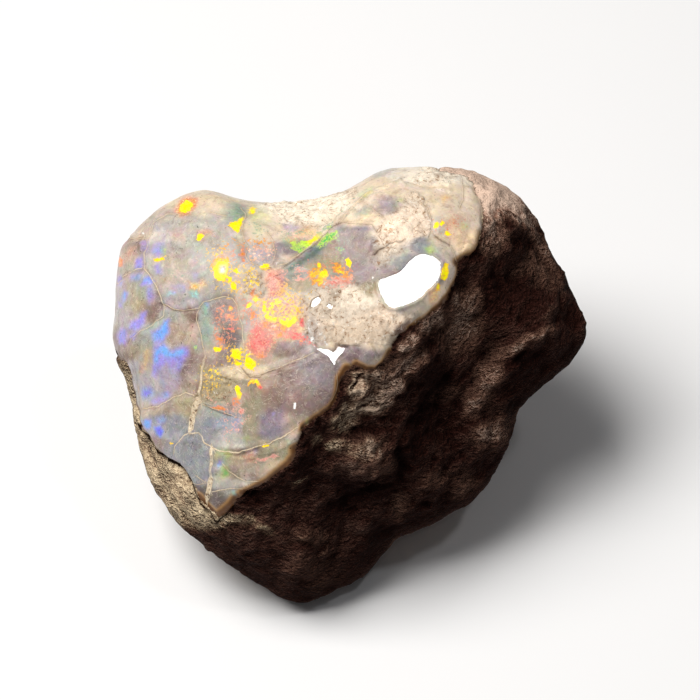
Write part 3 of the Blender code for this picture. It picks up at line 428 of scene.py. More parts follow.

# Bright flashes, in the same way. The white ones are painted highlights: glints of the light.
FLASHES = [
    (YELLOW, 1.2, 0.12, [(-17.1, 17.6), (-16.8, 18.2), (-16.3, 18.5), (-15.8, 18.2), (-16.0, 17.5),
        (-16.5, 17.2)]),
    (YELLOW, 1.1, 0.12, [(-15.4, 14.5), (-15.3, 15.0), (-14.8, 15.2), (-14.5, 14.9), (-14.8, 14.5),
        (-15.2, 14.3)]),
    (GOLD, 0.75, 0.3, [(-13.8, 10.9), (-13.9, 12.1), (-13.4, 12.9), (-12.5, 13.0), (-11.9, 12.5),
        (-12.1, 11.5), (-12.4, 10.4), (-13.2, 10.2)]),
    (YELLOW, 1.3, 0.1, [(-13.1, 12.5), (-12.4, 12.4), (-12.2, 11.7), (-12.4, 11.0), (-12.6, 10.5),
        (-13.2, 10.4), (-13.6, 10.9), (-13.7, 11.5), (-13.4, 12.0)]),
    (YELLOW, 1.1, 0.1, [(-12.3, 10.8), (-11.9, 10.9), (-11.8, 10.4), (-12.2, 10.1)]),
    (YELLOW, 1.2, 0.1, [(-12.0, 10.1), (-11.7, 10.4), (-11.3, 10.1), (-11.4, 9.6), (-11.9, 9.6)]),
    (YELLOW, 1.1, 0.1, [(-11.5, 11.5), (-11.2, 11.7), (-11.0, 11.3), (-11.3, 11.1)]),
    (YELLOW, 1.2, 0.1, [(-9.0, 11.9), (-8.6, 12.2), (-8.1, 12.1), (-8.1, 11.7), (-8.6, 11.6),
        (-8.9, 11.6)]),
    (YELLOW, 1.1, 0.1, [(-9.8, 8.5), (-9.6, 9.0), (-9.3, 9.0), (-9.2, 8.6), (-9.4, 8.3)]),
    (ORANGE, 0.8, 0.2, [(-9.9, 8.8), (-9.9, 9.5), (-9.5, 9.7), (-9.4, 9.0)]),
    (YELLOW, 1.1, 0.1, [(-10.5, 7.7), (-10.3, 8.1), (-9.9, 8.3), (-9.8, 8.0), (-10.2, 7.7)]),
    (YELLOW, 1.2, 0.12, [(-12.1, 15.9), (-11.9, 16.3), (-11.3, 16.3), (-10.9, 16.8), (-10.6, 16.8),
        (-10.7, 16.0), (-11.0, 15.7), (-11.3, 15.2), (-11.8, 15.5)]),
    (LEAF, 0.62, 0.35, [(-10.7, 17.1), (-10.3, 17.8), (-9.5, 18.1), (-9.2, 17.7), (-9.6, 17.1),
        (-10.2, 16.8)]),
    (YELLOW, 1.1, 0.1, [(-10.1, 17.4), (-9.8, 17.8), (-9.4, 17.7), (-9.6, 17.2), (-10.0, 17.2)]),
    (YELLOW, 1.0, 0.12, [(-19.8, 12.7), (-19.4, 12.6), (-18.9, 12.7), (-18.5, 12.9), (-18.6, 12.5),
        (-19.2, 12.3), (-19.7, 12.5)]),
    (ORANGE, 1.0, 0.15, [(-23.3, 12.4), (-23.1, 12.8), (-22.7, 12.5), (-22.7, 11.9), (-23.1, 11.9)]),
    (ORANGE, 0.8, 0.2, [(-10.9, 12.3), (-11.0, 13.3), (-10.7, 14.0), (-10.4, 13.5), (-10.4, 12.2)]),
    (RED, 0.62, 0.4, [(-9.8, 4.9), (-9.6, 6.0), (-8.9, 6.2), (-8.6, 5.4), (-8.7, 4.5), (-9.6, 4.3)]),
    (RED, 0.6, 0.5, [(-10.4, 3.5), (-10.1, 4.4), (-9.2, 4.8), (-8.2, 4.5), (-8.2, 3.7), (-8.8, 2.8),
        (-9.7, 3.1)]),
    (YELLOW, 1.2, 0.12, [(-7.0, 6.1), (-6.9, 6.5), (-6.5, 6.4), (-6.0, 6.5), (-5.4, 6.8), (-5.3, 6.4),
        (-5.9, 5.9), (-6.6, 5.8)]),
    (YELLOW, 1.05, 0.1, [(-8.8, 8.1), (-8.6, 8.2), (-8.4, 7.8), (-8.4, 7.3), (-8.7, 7.4)]),
    (YELLOW, 1.1, 0.1, [(-8.6, 7.0), (-8.3, 7.2), (-8.1, 6.9), (-8.2, 6.5), (-8.5, 6.5)]),
    (YELLOW, 1.05, 0.1, [(-7.9, 6.7), (-7.4, 6.8), (-7.3, 6.4), (-7.5, 6.1), (-7.8, 6.2)]),
    (BLUSH, 0.95, 0.15, [(-7.9, 6.1), (-7.3, 6.0), (-7.3, 5.6), (-7.8, 5.7)]),
    (GOLD, 1.0, 0.1, [(-7.0, 5.8), (-6.4, 5.7), (-6.5, 5.3), (-6.9, 5.4)]),
    (ORANGE, 0.95, 0.15, [(-7.5, 5.4), (-6.7, 5.3), (-6.7, 4.7), (-7.3, 4.7)]),
    (ORANGE, 0.9, 0.15, [(-10.0, 7.3), (-9.4, 7.4), (-9.5, 6.5), (-10.1, 6.4)]),
    (ORANGE, 0.8, 0.15, [(-8.8, 6.3), (-8.2, 6.3), (-8.2, 5.6), (-8.8, 5.7)]),
    (RED, 0.95, 0.15, [(-6.0, 4.9), (-5.5, 5.0), (-5.0, 4.7), (-5.1, 4.4), (-5.7, 4.5)]),
    (ORANGE, 1.0, 0.12, [(-5.2, 4.5), (-4.8, 4.6), (-4.6, 4.3), (-5.0, 4.2)]),
    (RED, 0.95, 0.15, [(-5.1, 6.7), (-4.7, 6.7), (-4.4, 5.9), (-4.7, 5.6), (-5.0, 5.9)]),
    (GOLD, 1.1, 0.12, [(-12.3, 7.5), (-12.1, 7.9), (-11.7, 7.8), (-11.7, 7.4), (-12.1, 7.3)]),
    (ORANGE, 0.72, 0.3, [(-13.0, 6.7), (-12.8, 7.1), (-11.8, 7.2), (-11.2, 6.9), (-11.3, 6.4),
        (-12.2, 6.6)]),
    (RED, 0.8, 0.12, [(-12.5, 5.8), (-12.0, 5.7), (-11.5, 6.0), (-11.5, 5.6), (-12.1, 5.4)]),
    (ORANGE, 0.8, 0.3, [(-13.5, 4.4), (-13.3, 5.0), (-12.7, 5.0), (-12.4, 4.2), (-12.7, 3.7),
        (-13.2, 4.0)]),
    (YELLOW, 1.1, 0.12, [(-13.7, 3.6), (-13.4, 3.8), (-12.8, 3.6), (-12.9, 3.2), (-13.4, 3.3)]),
    (YELLOW, 1.2, 0.14, [(-12.0, 2.8), (-11.8, 3.5), (-11.2, 3.6), (-10.8, 3.3), (-10.9, 2.6),
        (-11.5, 2.6)]),
    (YELLOW, 1.1, 0.12, [(-11.7, 2.1), (-11.4, 2.5), (-10.8, 2.4), (-10.8, 2.0), (-11.3, 1.9)]),
    (YELLOW, 1.1, 0.14, [(-10.6, 1.9), (-10.5, 2.7), (-10.0, 2.8), (-9.4, 2.4), (-9.3, 1.7),
        (-10.0, 1.6)]),
    (ORANGE, 0.8, 0.2, [(-9.3, 2.6), (-9.2, 3.4), (-8.6, 3.5), (-8.5, 2.8)]),
    (GOLD, 1.0, 0.12, [(-10.3, -0.1), (-10.2, 0.4), (-9.8, 0.6), (-9.3, 0.5), (-9.4, 0.1), (-9.9, 0.2)]),
    (RED, 1.0, 0.12, [(-9.4, 0.3), (-9.0, 0.3), (-8.7, -0.2), (-9.0, -0.4), (-9.3, -0.1)]),
    (YELLOW, 1.0, 0.08, [(-9.6, 0.3), (-9.4, 0.6), (-9.0, 0.4), (-9.2, 0.2)]),
    (YELLOW, 1.15, 0.12, [(-11.5, -0.4), (-11.3, -0.1), (-10.9, -0.3), (-10.9, -1.4), (-11.2, -1.5),
        (-11.4, -1.0)]),
    (ORANGE, 0.7, 0.2, [(-11.8, -1.2), (-11.3, -1.2), (-10.9, -1.7), (-11.3, -2.2), (-11.8, -2.0)]),
    (ORANGE, 1.0, 0.12, [(-13.8, -2.2), (-13.2, -2.1), (-12.4, -2.3), (-12.4, -2.6), (-13.3, -2.5)]),
    (NEON, 1.2, 0.15, [(-5.1, 13.9), (-5.0, 14.4), (-4.4, 14.5), (-3.7, 14.6), (-3.6, 14.2), (-4.2, 13.8),
        (-4.8, 13.8)]),
    (NEON, 0.8, 0.2, [(-6.0, 14.2), (-5.4, 14.4), (-5.0, 14.2), (-5.0, 13.6), (-5.5, 13.7)]),
    (GREEN, 0.6, 0.25, [(-6.0, 13.8), (-5.2, 14.2), (-4.6, 13.8), (-4.6, 13.2), (-5.2, 13.2)]),
    (YELLOW, 0.9, 0.2, [(-4.0, 14.5), (-3.4, 15.0), (-2.8, 15.4), (-2.6, 15.1), (-3.2, 14.4),
        (-3.7, 14.1)]),
    (GREEN, 0.95, 0.2, [(-3.3, 14.0), (-2.8, 14.7), (-2.0, 15.2), (-1.4, 15.5), (-1.4, 15.0),
        (-2.2, 14.2), (-2.9, 13.9)]),
    (LEAF, 0.7, 0.25, [(-3.2, 15.2), (-2.6, 15.9), (-1.7, 16.3), (-1.6, 15.9), (-2.4, 15.3)]),
    (YELLOW, 1.1, 0.1, [(-3.4, 11.9), (-3.3, 12.2), (-2.9, 12.2), (-2.9, 11.8), (-3.2, 11.7)]),
    (GOLD, 0.74, 0.4, [(-4.1, 11.5), (-3.6, 11.7), (-2.4, 11.6), (-2.2, 10.3), (-2.8, 9.7), (-3.8, 10.1),
        (-4.2, 10.7)]),
    (YELLOW, 1.1, 0.15, [(-3.1, 11.0), (-2.9, 11.5), (-2.3, 11.5), (-2.2, 10.9), (-2.7, 10.7)]),
    (CORAL, 0.76, 0.4, [(-2.4, 10.5), (-1.4, 11.0), (-0.2, 11.2), (0.5, 10.6), (0.0, 10.0), (-1.4, 9.8),
        (-2.2, 9.7)]),
    (GOLD, 0.8, 0.3, [(-1.7, 11.7), (-1.4, 12.3), (-0.7, 12.1), (-0.6, 11.5), (0.0, 11.2), (-0.4, 10.8),
        (-1.2, 11.1)]),
    (YELLOW, 1.1, 0.12, [(-0.5, 12.5), (-0.2, 12.7), (0.1, 12.2), (0.0, 11.7), (-0.4, 11.9)]),
    (CORAL, 0.8, 0.12, [(-6.1, 10.4), (-5.2, 10.7), (-4.2, 10.8), (-4.2, 10.5), (-5.2, 10.4)]),
    (CORAL, 1.0, 0.2, [(-9.0, -7.7), (-8.8, -7.2), (-8.2, -7.1), (-8.2, -7.5), (-8.7, -7.8)]),
    (CORAL, 0.75, 0.2, [(-8.2, -7.3), (-7.8, -6.9), (-7.1, -6.8), (-7.1, -7.2), (-7.7, -7.4)]),
    (CORAL, 0.75, 0.2, [(-9.5, -7.8), (-9.3, -7.2), (-9.0, -7.3), (-9.2, -7.9)]),
    (YELLOW, 0.9, 0.1, [(-8.8, -6.1), (-8.4, -5.8), (-8.0, -5.8), (-8.1, -6.1), (-8.6, -6.2)]),
    (CORAL, 0.7, 0.15, [(-11.2, -2.8), (-11.0, -2.3), (-10.6, -2.4), (-10.5, -3.0), (-10.9, -3.1)]),
    (YELLOW, 1.2, 0.1, [(8.2, 15.7), (8.4, 16.2), (8.8, 16.3), (9.0, 15.9), (8.6, 15.6)]),
    (YELLOW, 1.1, 0.1, [(9.0, 16.0), (9.2, 16.4), (9.5, 16.2), (9.2, 15.8)]),
    (YELLOW, 1.15, 0.1, [(9.4, 15.1), (9.6, 15.5), (10.0, 15.3), (10.3, 15.0), (9.8, 14.9)]),
    (YELLOW, 1.4, 0.1, [(9.1, 10.6), (9.2, 11.4), (9.5, 12.2), (9.9, 12.1), (9.9, 11.2), (9.6, 10.6)]),
    (ORANGE, 0.7, 0.2, [(8.3, 9.3), (8.7, 10.1), (9.1, 10.2), (9.0, 9.5), (8.5, 9.1)]),
    (YELLOW, 1.0, 0.1, [(8.6, 9.7), (8.8, 10.1), (9.0, 9.9), (8.8, 9.5)]),
    (CYAN, 0.7, 0.2, [(-15.9, 8.8), (-15.7, 9.5), (-15.2, 9.6), (-15.1, 8.9)]),
    (LEAF, 0.9, 0.1, [(-15.7, 3.7), (-15.5, 4.0), (-15.2, 3.8), (-15.4, 3.4)]),
    # Painted highlights: white glints.
    (PAINTED_GLINT, 0.7, 0.16, [(-4.4, 6.3), (-4.1, 6.3), (-3.6, 4.7), (-3.4, 4.0), (-3.8, 4.2), (-4.2, 5.3)]),
    (PAINTED_GLINT, 0.7, 0.16, [(-3.0, 5.4), (-2.8, 5.4), (-2.1, 4.0), (-2.3, 3.8)]),
    (PAINTED_GLINT, 1.2, 0.08, [(-5.6, -1.8), (-5.4, -1.8), (-5.4, -2.4), (-5.7, -2.4)]),
    (PAINTED_GLINT, 1.2, 0.06, [(-20.8, 15.3), (-20.6, 15.3), (-20.6, 15.0), (-20.8, 14.9)]),
    (PAINTED_GLINT, 1.2, 0.06, [(-12.8, 11.9), (-12.6, 11.9), (-12.6, 11.4), (-12.8, 11.4)]),
    (PAINTED_GLINT, 1.1, 0.06, [(2.2, 10.8), (2.4, 10.8), (2.4, 10.6), (2.2, 10.6)]),
    (YELLOW, 1.0, 0.08, [(-18.1, -5.8), (-17.9, -5.7), (-17.7, -5.8), (-17.9, -6.0)]),
]

# Scattered sparks: colour, the share of the stone that sparks, softness, outline.
SPARKLES = [
    (YELLOW, 0.31, 0.8, [(-14.4, 13.5), (-12.8, 14.1), (-11.0, 14.5), (-8.8, 13.9), (-9.2, 11.9),
        (-8.8, 10.1), (-10.0, 8.5), (-12.4, 8.9), (-13.6, 9.9)]),
    (LEAF, 0.3, 0.6, [(-18.8, 11.1), (-17.4, 11.4), (-16.6, 11.3), (-16.6, 10.8), (-18.2, 10.6)]),
    (GOLD, 0.3, 0.6, [(-12.8, 14.7), (-11.4, 14.9), (-11.2, 13.7), (-12.4, 13.5)]),
    (BLUSH, 0.42, 0.6, [(-10.6, 14.1), (-9.4, 14.5), (-7.4, 14.3), (-7.4, 12.7), (-8.8, 12.3),
        (-10.4, 12.5)]),
    (ORANGE, 0.34, 0.4, [(-12.0, 13.5), (-11.2, 13.7), (-10.4, 14.1), (-10.3, 12.3), (-11.2, 12.1),
        (-11.9, 12.5)]),
    (LEAF, 0.26, 0.6, [(-10.4, 15.9), (-9.2, 16.5), (-8.2, 15.9), (-8.6, 14.7), (-10.0, 14.5)]),
    (GOLD, 0.4, 0.3, [(-10.5, 14.5), (-10.0, 14.7), (-9.2, 14.5), (-8.2, 14.7), (-8.2, 14.1),
        (-9.2, 14.0), (-10.3, 14.1)]),
    (ORANGE, 0.42, 0.5, [(-11.0, 8.9), (-8.8, 9.3), (-8.8, 7.3), (-9.4, 5.9), (-10.6, 6.3)]),
    (CORAL, 0.48, 0.5, [(-8.8, 11.5), (-6.4, 11.7), (-6.2, 10.1), (-5.0, 8.5), (-7.8, 8.5)]),
    (SALMON, 0.48, 0.5, [(-8.8, 8.7), (-5.0, 8.9), (-4.7, 7.8), (-5.0, 6.7), (-6.8, 6.7), (-8.6, 6.9)]),
    (RED, 0.42, 0.5, [(-10.0, 5.9), (-8.8, 6.3), (-7.4, 5.5), (-7.4, 4.3), (-8.8, 2.7), (-10.4, 2.3),
        (-10.6, 4.1)]),
    (YELLOW, 0.5, 0.4, [(-9.1, 8.5), (-7.8, 8.9), (-6.6, 8.6), (-7.0, 7.7), (-8.0, 7.1), (-8.8, 7.1)]),
    (YELLOW, 0.52, 0.3, [(-8.8, 7.1), (-7.0, 7.0), (-5.2, 7.0), (-5.4, 5.7), (-7.0, 5.6), (-8.6, 6.1)]),
    (ORANGE, 0.54, 0.4, [(-8.6, 5.9), (-6.6, 5.7), (-5.0, 5.9), (-5.4, 4.9), (-6.6, 4.4), (-7.8, 4.9)]),
    (RED, 0.52, 0.4, [(-6.6, 5.5), (-5.0, 5.5), (-3.8, 4.5), (-3.4, 3.9), (-5.0, 4.0), (-6.4, 4.5)]),
    (ORANGE, 0.34, 0.4, [(-13.6, 7.9), (-11.2, 8.1), (-11.0, 5.5), (-11.2, 3.3), (-13.4, 3.3),
        (-13.8, 5.5)]),
    (YELLOW, 0.44, 0.4, [(-12.2, 3.9), (-10.4, 3.9), (-9.2, 2.7), (-9.2, 1.3), (-11.8, 1.7),
        (-12.4, 2.9)]),
    (YELLOW, 0.3, 0.5, [(-14.8, 1.7), (-13.0, 2.3), (-12.4, 0.9), (-13.6, -0.7), (-14.4, -1.7),
        (-15.0, -0.7)]),
    (CORAL, 0.3, 0.5, [(-12.8, -1.9), (-11.0, -1.9), (-9.8, -3.3), (-10.4, -4.5), (-12.4, -5.5),
        (-13.0, -3.9)]),
    (LEAF, 0.46, 0.3, [(-1.8, 15.5), (-1.2, 15.5), (-0.6, 14.1), (-0.6, 12.7), (0.0, 12.3), (-0.6, 11.7),
        (-1.6, 12.5), (-1.6, 14.1)]),
    (GREEN, 0.5, 0.3, [(-3.4, 13.9), (-2.6, 14.9), (-1.6, 15.5), (-1.2, 15.1), (-2.2, 13.9),
        (-3.0, 13.7)]),
    (CORAL, 0.45, 0.4, [(-5.6, 11.9), (-4.4, 11.9), (-4.0, 10.9), (-4.6, 10.3), (-5.8, 10.5)]),
    (ORANGE, 0.4, 0.5, [(-4.2, 12.3), (-2.0, 12.5), (0.2, 11.9), (0.6, 10.1), (-1.4, 9.3), (-3.8, 9.7)]),
    (LEAF, 0.28, 0.4, [(-7.0, 15.7), (-2.8, 15.9), (-2.0, 14.7), (-4.6, 13.1), (-6.6, 13.7)]),
    (ORANGE, 0.26, 0.5, [(7.8, 16.7), (11.2, 17.3), (12.0, 15.7), (10.2, 14.5), (8.2, 15.1)]),
    (LEAF, 0.25, 0.4, [(-2.4, 16.3), (-0.6, 17.9), (1.4, 19.5), (2.2, 19.7), (1.8, 18.5), (-0.6, 16.9)]),
    (SALMON, 0.16, 0.8, [(-6.6, 9.9), (-3.8, 9.9), (-3.2, 8.5), (-5.0, 7.9), (-6.4, 8.3)]),
    (CORAL, 0.3, 0.4, [(-14.4, -1.1), (-12.0, -1.7), (-12.2, -2.5), (-14.2, -2.1)]),
]

# The opal's tints, and the plates of each: place, reach across and up. Some tints are painted paler or
# darker for how the light falls on the face: painted light and shade.
PLATES = {
    TAN: [(-16.2, 18.3, 4.0, 0.8), (-11.8, 1.3, 1.0, 0.6), (-9.8, 1.3, 1.0, 0.4), (-7.4, -8.3, 1.2, 0.6),
        (-5.6, 12.7, 1.0, 0.3), (0.2, 16.7, 2.4, 0.6), (2.6, 19.9, 1.4, 0.5), (7.2, 7.7, 1.4, 0.5),
        (3.6, 2.3, 1.0, 0.4)],
    PEACH: [(-19.0, 17.1, 1.0, 0.8), (-20.8, 15.7, 0.8, 1.0), (-16.8, 12.3, 1.6, 1.0),
        (-18.0, 10.0, 1.4, 0.8), (-22.0, 12.3, 0.8, 1.6), (-17.4, 5.5, 1.0, 1.2), (-16.3, 4.7, 0.8, 1.4),
        (-16.5, 0.1, 1.4, 0.8), (-13.8, 3.5, 0.6, 1.0), (-11.4, -1.5, 0.8, 0.8), (-10.8, 15.0, 0.5, 1.0),
        (-10.6, 7.3, 0.6, 1.2), (-7.8, 2.3, 1.4, 0.6), (-8.2, 0.5, 0.8, 0.6), (-5.8, -3.9, 1.4, 0.8),
        (-19.0, -2.5, 1.4, 0.6), (-9.8, -8.3, 1.4, 0.8), (-2.0, 13.3, 0.8, 0.8)],
    CREAM: [(-20.4, 14.9, 1.0, 0.4), (-13.2, 17.5, 1.4, 0.7), (-9.5, 15.7, 1.4, 1.2),
        (-8.0, 15.9, 0.8, 1.4), (-5.0, 15.3, 2.2, 0.6), (2.5, 18.7, 1.8, 0.8), (4.8, 19.3, 1.6, 0.6),
        (1.0, 18.9, 1.0, 0.8), (8.4, 19.5, 1.4, 0.8), (9.0, 18.0, 1.4, 0.8), (10.5, 19.3, 0.8, 0.8),
        (12.0, 18.7, 0.8, 1.0), (10.2, 17.3, 1.2, 0.6), (11.8, 17.0, 1.0, 0.8), (8.8, 14.3, 0.8, 0.5),
        (9.0, 8.9, 0.8, 0.6), (3.4, 3.9, 1.2, 0.6), (9.8, 13.0, 0.7, 0.8)],
    PEARL: [(-15.8, 14.0, 3.8, 3.2), (-12.8, 15.0, 1.2, 1.4), (-14.5, 14.5, 1.0, 1.2),
        (-8.6, 9.5, 0.6, 0.8), (-11.5, -5.7, 1.4, 0.6), (-12.6, -9.8, 1.4, 0.4), (9.4, 13.1, 0.8, 0.8),
        (10.2, 11.3, 0.5, 1.2)],
    LAVENDER: [(-19.0, 15.0, 1.2, 1.2), (-17.2, 8.5, 1.6, 0.7), (-23.0, 9.5, 0.6, 1.2),
        (-22.4, 7.5, 0.8, 1.0), (-21.0, 6.3, 0.6, 0.6), (-19.0, 1.3, 1.8, 2.0), (-20.0, 0.7, 1.2, 1.2),
        (-9.4, 13.3, 1.0, 1.0), (-10.0, 6.3, 0.6, 0.6), (-20.0, -4.7, 0.8, 0.6), (-3.6, 5.0, 0.7, 1.3)],
    MILK: [(-14.5, 12.9, 2.4, 1.4), (9.6, 12.3, 0.8, 1.0), (6.5, 7.7, 1.6, 0.5), (-12.0, -4.5, 1.2, 0.7),
        (-18.0, 9.5, 1.2, 0.7)],
    TEAL: [(-11.8, 17.3, 1.0, 0.8)],
    MAUVE: [(-21.4, 13.7, 1.0, 0.6), (-19.6, 8.5, 0.6, 1.0), (-22.2, 4.0, 1.2, 1.0),
        (-16.6, 2.0, 1.0, 1.4), (-12.8, 7.3, 1.0, 1.0), (-13.0, 2.5, 1.2, 0.8), (-11.4, 6.3, 0.5, 0.6),
        (-7.5, 3.5, 1.0, 0.8), (-6.0, 3.3, 1.4, 0.8), (-5.0, -2.0, 1.8, 1.0), (-2.0, -1.0, 1.0, 1.2),
        (-19.2, -6.0, 1.0, 0.8), (-11.8, -8.9, 0.6, 0.6), (-5.0, -0.3, 1.6, 1.0)],
    SLATE: [(-22.0, 11.7, 0.8, 0.5), (-21.0, 9.5, 0.8, 0.8), (-20.5, 4.0, 1.0, 0.8),
        (-17.8, 6.9, 1.0, 0.4), (-14.2, 6.5, 0.6, 1.8), (-13.4, -2.7, 1.0, 0.5), (-11.8, -10.9, 0.6, 0.5),
        (-3.4, 12.9, 1.0, 0.6)],
    OLIVE: [(-21.6, 8.5, 1.0, 1.2), (-20.2, 2.5, 0.5, 1.0), (-21.4, 3.5, 0.8, 0.6),
        (-12.8, 0.0, 1.4, 1.2), (-14.4, 0.5, 0.6, 1.4), (-16.4, -2.0, 0.8, 1.0), (-12.0, -7.1, 1.0, 0.5),
        (-2.5, 12.3, 1.2, 0.6), (-5.4, 10.2, 1.0, 0.4), (1.8, 9.7, 0.8, 0.6)],
    BRONZE: [(-20.0, 7.3, 0.6, 0.9), (-16.0, 7.1, 0.6, 0.4), (-6.6, -0.7, 2.4, 1.6),
        (5.6, 5.7, 0.8, 0.6)],
    UMBER: [(-22.8, 3.0, 0.8, 0.5), (-14.8, -11.5, 0.5, 0.4), (-12.4, -12.3, 0.6, 0.4)],
    SMOKE: [(-12.0, 5.0, 0.5, 1.2), (-15.0, -10.9, 0.7, 0.8), (-11.0, -6.7, 1.2, 0.3),
        (-12.8, -11.5, 0.8, 0.8)],
    CRUST: [(-9.2, 10.0, 1.6, 1.4), (-10.5, 10.9, 0.8, 0.6), (-2.8, 5.5, 1.4, 1.2), (2.2, 6.0, 1.6, 1.2),
        (-0.5, 5.0, 1.2, 0.8)],
    PLUM: [(-5.4, 3.9, 1.0, 0.5), (0.2, 14.1, 1.4, 1.4), (1.2, 11.7, 1.2, 1.4), (3.5, 11.3, 1.2, 0.4)],
    HAZE: [(-3.2, 0.9, 1.4, 1.6), (-7.8, -4.0, 1.0, 1.2), (-6.0, 13.5, 1.2, 0.8), (3.5, 18.2, 1.0, 0.7),
        (1.6, 2.8, 1.6, 0.7), (-0.2, 3.3, 0.8, 0.6)],
    SAGE: [(-9.6, -2.5, 0.7, 2.2), (-10.0, -5.1, 0.8, 0.8), (-8.8, -7.1, 1.2, 0.8)],
    STEEL: [(-13.0, -4.0, 1.4, 1.0), (-17.8, -4.0, 1.4, 1.2), (-17.8, -6.3, 0.8, 0.8),
        (-15.4, -6.3, 1.2, 1.2), (-15.6, -8.1, 1.2, 1.0), (-15.0, -9.1, 0.8, 0.6), (5.0, 12.3, 1.2, 0.6),
        (7.0, 14.1, 1.2, 0.5)],
    MOSS: [(-7.2, -6.5, 1.0, 0.8), (1.4, 17.4, 0.8, 0.4)],
    BLUSH: [(11.4, 14.7, 1.0, 1.0)],
    CHALK: [(-4.0, 17.3, 4.0, 0.9), (-1.0, 18.0, 1.4, 0.9), (0.5, 8.7, 1.4, 0.8), (9.6, 20.9, 3.0, 0.8)],
    BISCUIT: [(5.0, 15.9, 1.8, 1.4), (3.5, 6.7, 1.6, 0.8), (10.3, 11.0, 0.5, 1.8), (8.7, 8.8, 0.9, 0.8)],
    ASH: [(3.8, 12.9, 1.2, 0.8), (-1.0, 7.9, 2.4, 1.4)],
    FROST: [(-20.0, 5.5, 0.6, 0.5), (-19.2, 5.9, 0.6, 0.5)],
}

# Relief, as the size and the height of each size of lump.
OPAL_EDGE_WANDER = [(1.5, 0.25), (0.6, 0.12)]
PLATE_BUMPS = [(2.6, 0.10), (1.1, 0.05), (0.5, 0.02)]
CRUMBS = [(1.6, 0.14), (0.7, 0.14), (0.36, 0.10)]
CRUMBLE_EDGE = [(1.6, 0.45), (0.7, 0.3), (0.35, 0.15)]
ROCK_LUMPS = [(3.6, 0.34), (1.7, 0.40), (0.8, 0.26), (0.42, 0.12)]
ROCK_STREAKS = [(1.8, 0.26), (0.8, 0.18), (0.45, 0.10)]

# How far lines and patches are bent, as the size and the reach of each bend.
ROCK_BEND = [(1.3, 0.6)]
MIRROR_BEND = [(0.8, 0.10)]
LINE_BEND = [(0.9, 0.10), (0.35, 0.04)]
PLAY_BEND = [(0.9, 0.16), (0.4, 0.07)]

STREAK_WAY = np.array([0.72, 0.62, -0.3])  # the rock's streaks run up to the right
STREAK_TURN = (0.0, 0.0, math.radians(-40))  # and so do those of its finish
LIP_DROP, LIP_FADE = 0.5, 0.35  # the opal's edge dips, and how far in the dip takes to fade
CRACK_WIDTH, CRACK_DEPTH = 0.14, 0.5
HIDDEN_FLASHES = 110
FAR = 99.0  # further than any two points of the stone
OFF_FACE = 9.0  # carries what is behind the edge out of reach of the lines on the face

MIRROR_LIGHT = np.array([0.36, 0.51, 0.77])  # the way to the light that the breaks mirror
KEY_LIGHT = np.array([-0.42, 0.56, 0.71])
KEY_WATTS, MIRROR_WATTS = 3.85, 0.2
ROOM_LIGHT = 0.09
FLOOR_REACH = 3.0  # in metres, as all of the set


def smooth_step(value, low, high):
    """0 up to low and 1 from high, with a smooth rise between them."""
    t = np.clip((value - low) / (high - low), 0, 1)
    return t * t * (3 - 2 * t)


def line_distance(x, y, points):
    """Distance to an open line, + on the right of the way it runs, and how squarely a
    point lies beside the line: 1 beside it, falling to 0 straight ahead of its two ends."""
    p = np.array(points, float)
    way = np.diff(p, axis=0)
    way /= np.linalg.norm(way, axis=1, keepdims=True)
    at_corner = np.vstack([way[:1], way[:-1] + way[1:], way[-1:]])
    best = np.full(np.shape(x), np.inf)
    side = np.zeros(np.shape(x))
    square = np.ones(np.shape(x))
    for i in range(len(way)):
        (ax, ay), (dx, dy) = p[i], p[i + 1] - p[i]
        share = np.clip(((x - ax) * dx + (y - ay) * dy) / (dx * dx + dy * dy), 0, 1)
        off_x, off_y = x - ax - share * dx, y - ay - share * dy
        gap = np.hypot(off_x, off_y)
        heading_x = at_corner[i, 0] + share * (at_corner[i + 1, 0] - at_corner[i, 0])
        heading_y = at_corner[i, 1] + share * (at_corner[i + 1, 1] - at_corner[i, 1])
        across = (off_x * heading_y - off_y * heading_x) / np.hypot(heading_x, heading_y)
        nearer = gap < best
        best = np.where(nearer, gap, best)
        side = np.where(nearer, np.sign(across), side)
        square = np.where(nearer, np.abs(across) / np.maximum(gap, 1e-9), square)
    return best * side, square


def nearest_line(x, y, rows):
    """For each point its distance to the nearest of the lines, + on the line's right, that
    line's half width, and how far the point lies outside it."""
    side, width, clear = np.full((3, len(x)), FAR)
    for half, line in rows:
        away, _ = line_distance(x, y, line)
        gap = np.abs(away) - half
        side = np.where(gap < clear, away, side)
        width = np.where(gap < clear, half, width)
        clear = np.minimum(clear, gap)
    return side, width, clear


def area_depth(x, y, outline):
    """How far inside a closed outline each point lies, and - outside it."""
    best = np.full(np.shape(x), np.inf)
    inside = np.zeros(np.shape(x), bool)
    for (ax, ay), (bx, by) in zip(outline, outline[1:] + outline[:1]):
        dx, dy = bx - ax, by - ay
        share = np.clip(((x - ax) * dx + (y - ay) * dy) / (dx * dx + dy * dy), 0, 1)
        best = np.minimum(best, np.hypot(x - ax - share * dx, y - ay - share * dy))
        crosses = (ay > y) != (by > y)
        if dy:
            inside ^= crosses & (x < ax + (y - ay) * dx / dy)
    return np.where(inside, best, -best)


def lumps(place, wave, seed=0.0):
    """Smooth noise from about -1 to 1, with lumps of the given size."""
    shift = Vector((seed * 7.3, seed * 3.1, -seed * 5.7))
    return np.array([noise.noise(Vector(p) / wave + shift) for p in place])


def rough_lumps(place, rows, seed=0.0):
    """Sum of lumps over rows of size and height."""
    return sum(height * lumps(place, wave, seed + i) for i, (wave, height) in enumerate(rows))


# ---- the stone's mesh -----------------------------------------------------------------


def to_face(world):
    """World metres to the face frame's millimetres."""
    s, c = math.sin(FACE_ELEVATION), math.cos(FACE_ELEVATION)
    x, y, z = np.asarray(world).T / MM
    z = z - STONE_MIDDLE
    return np.stack([x, y * s + z * c, z * s - y * c], -1)


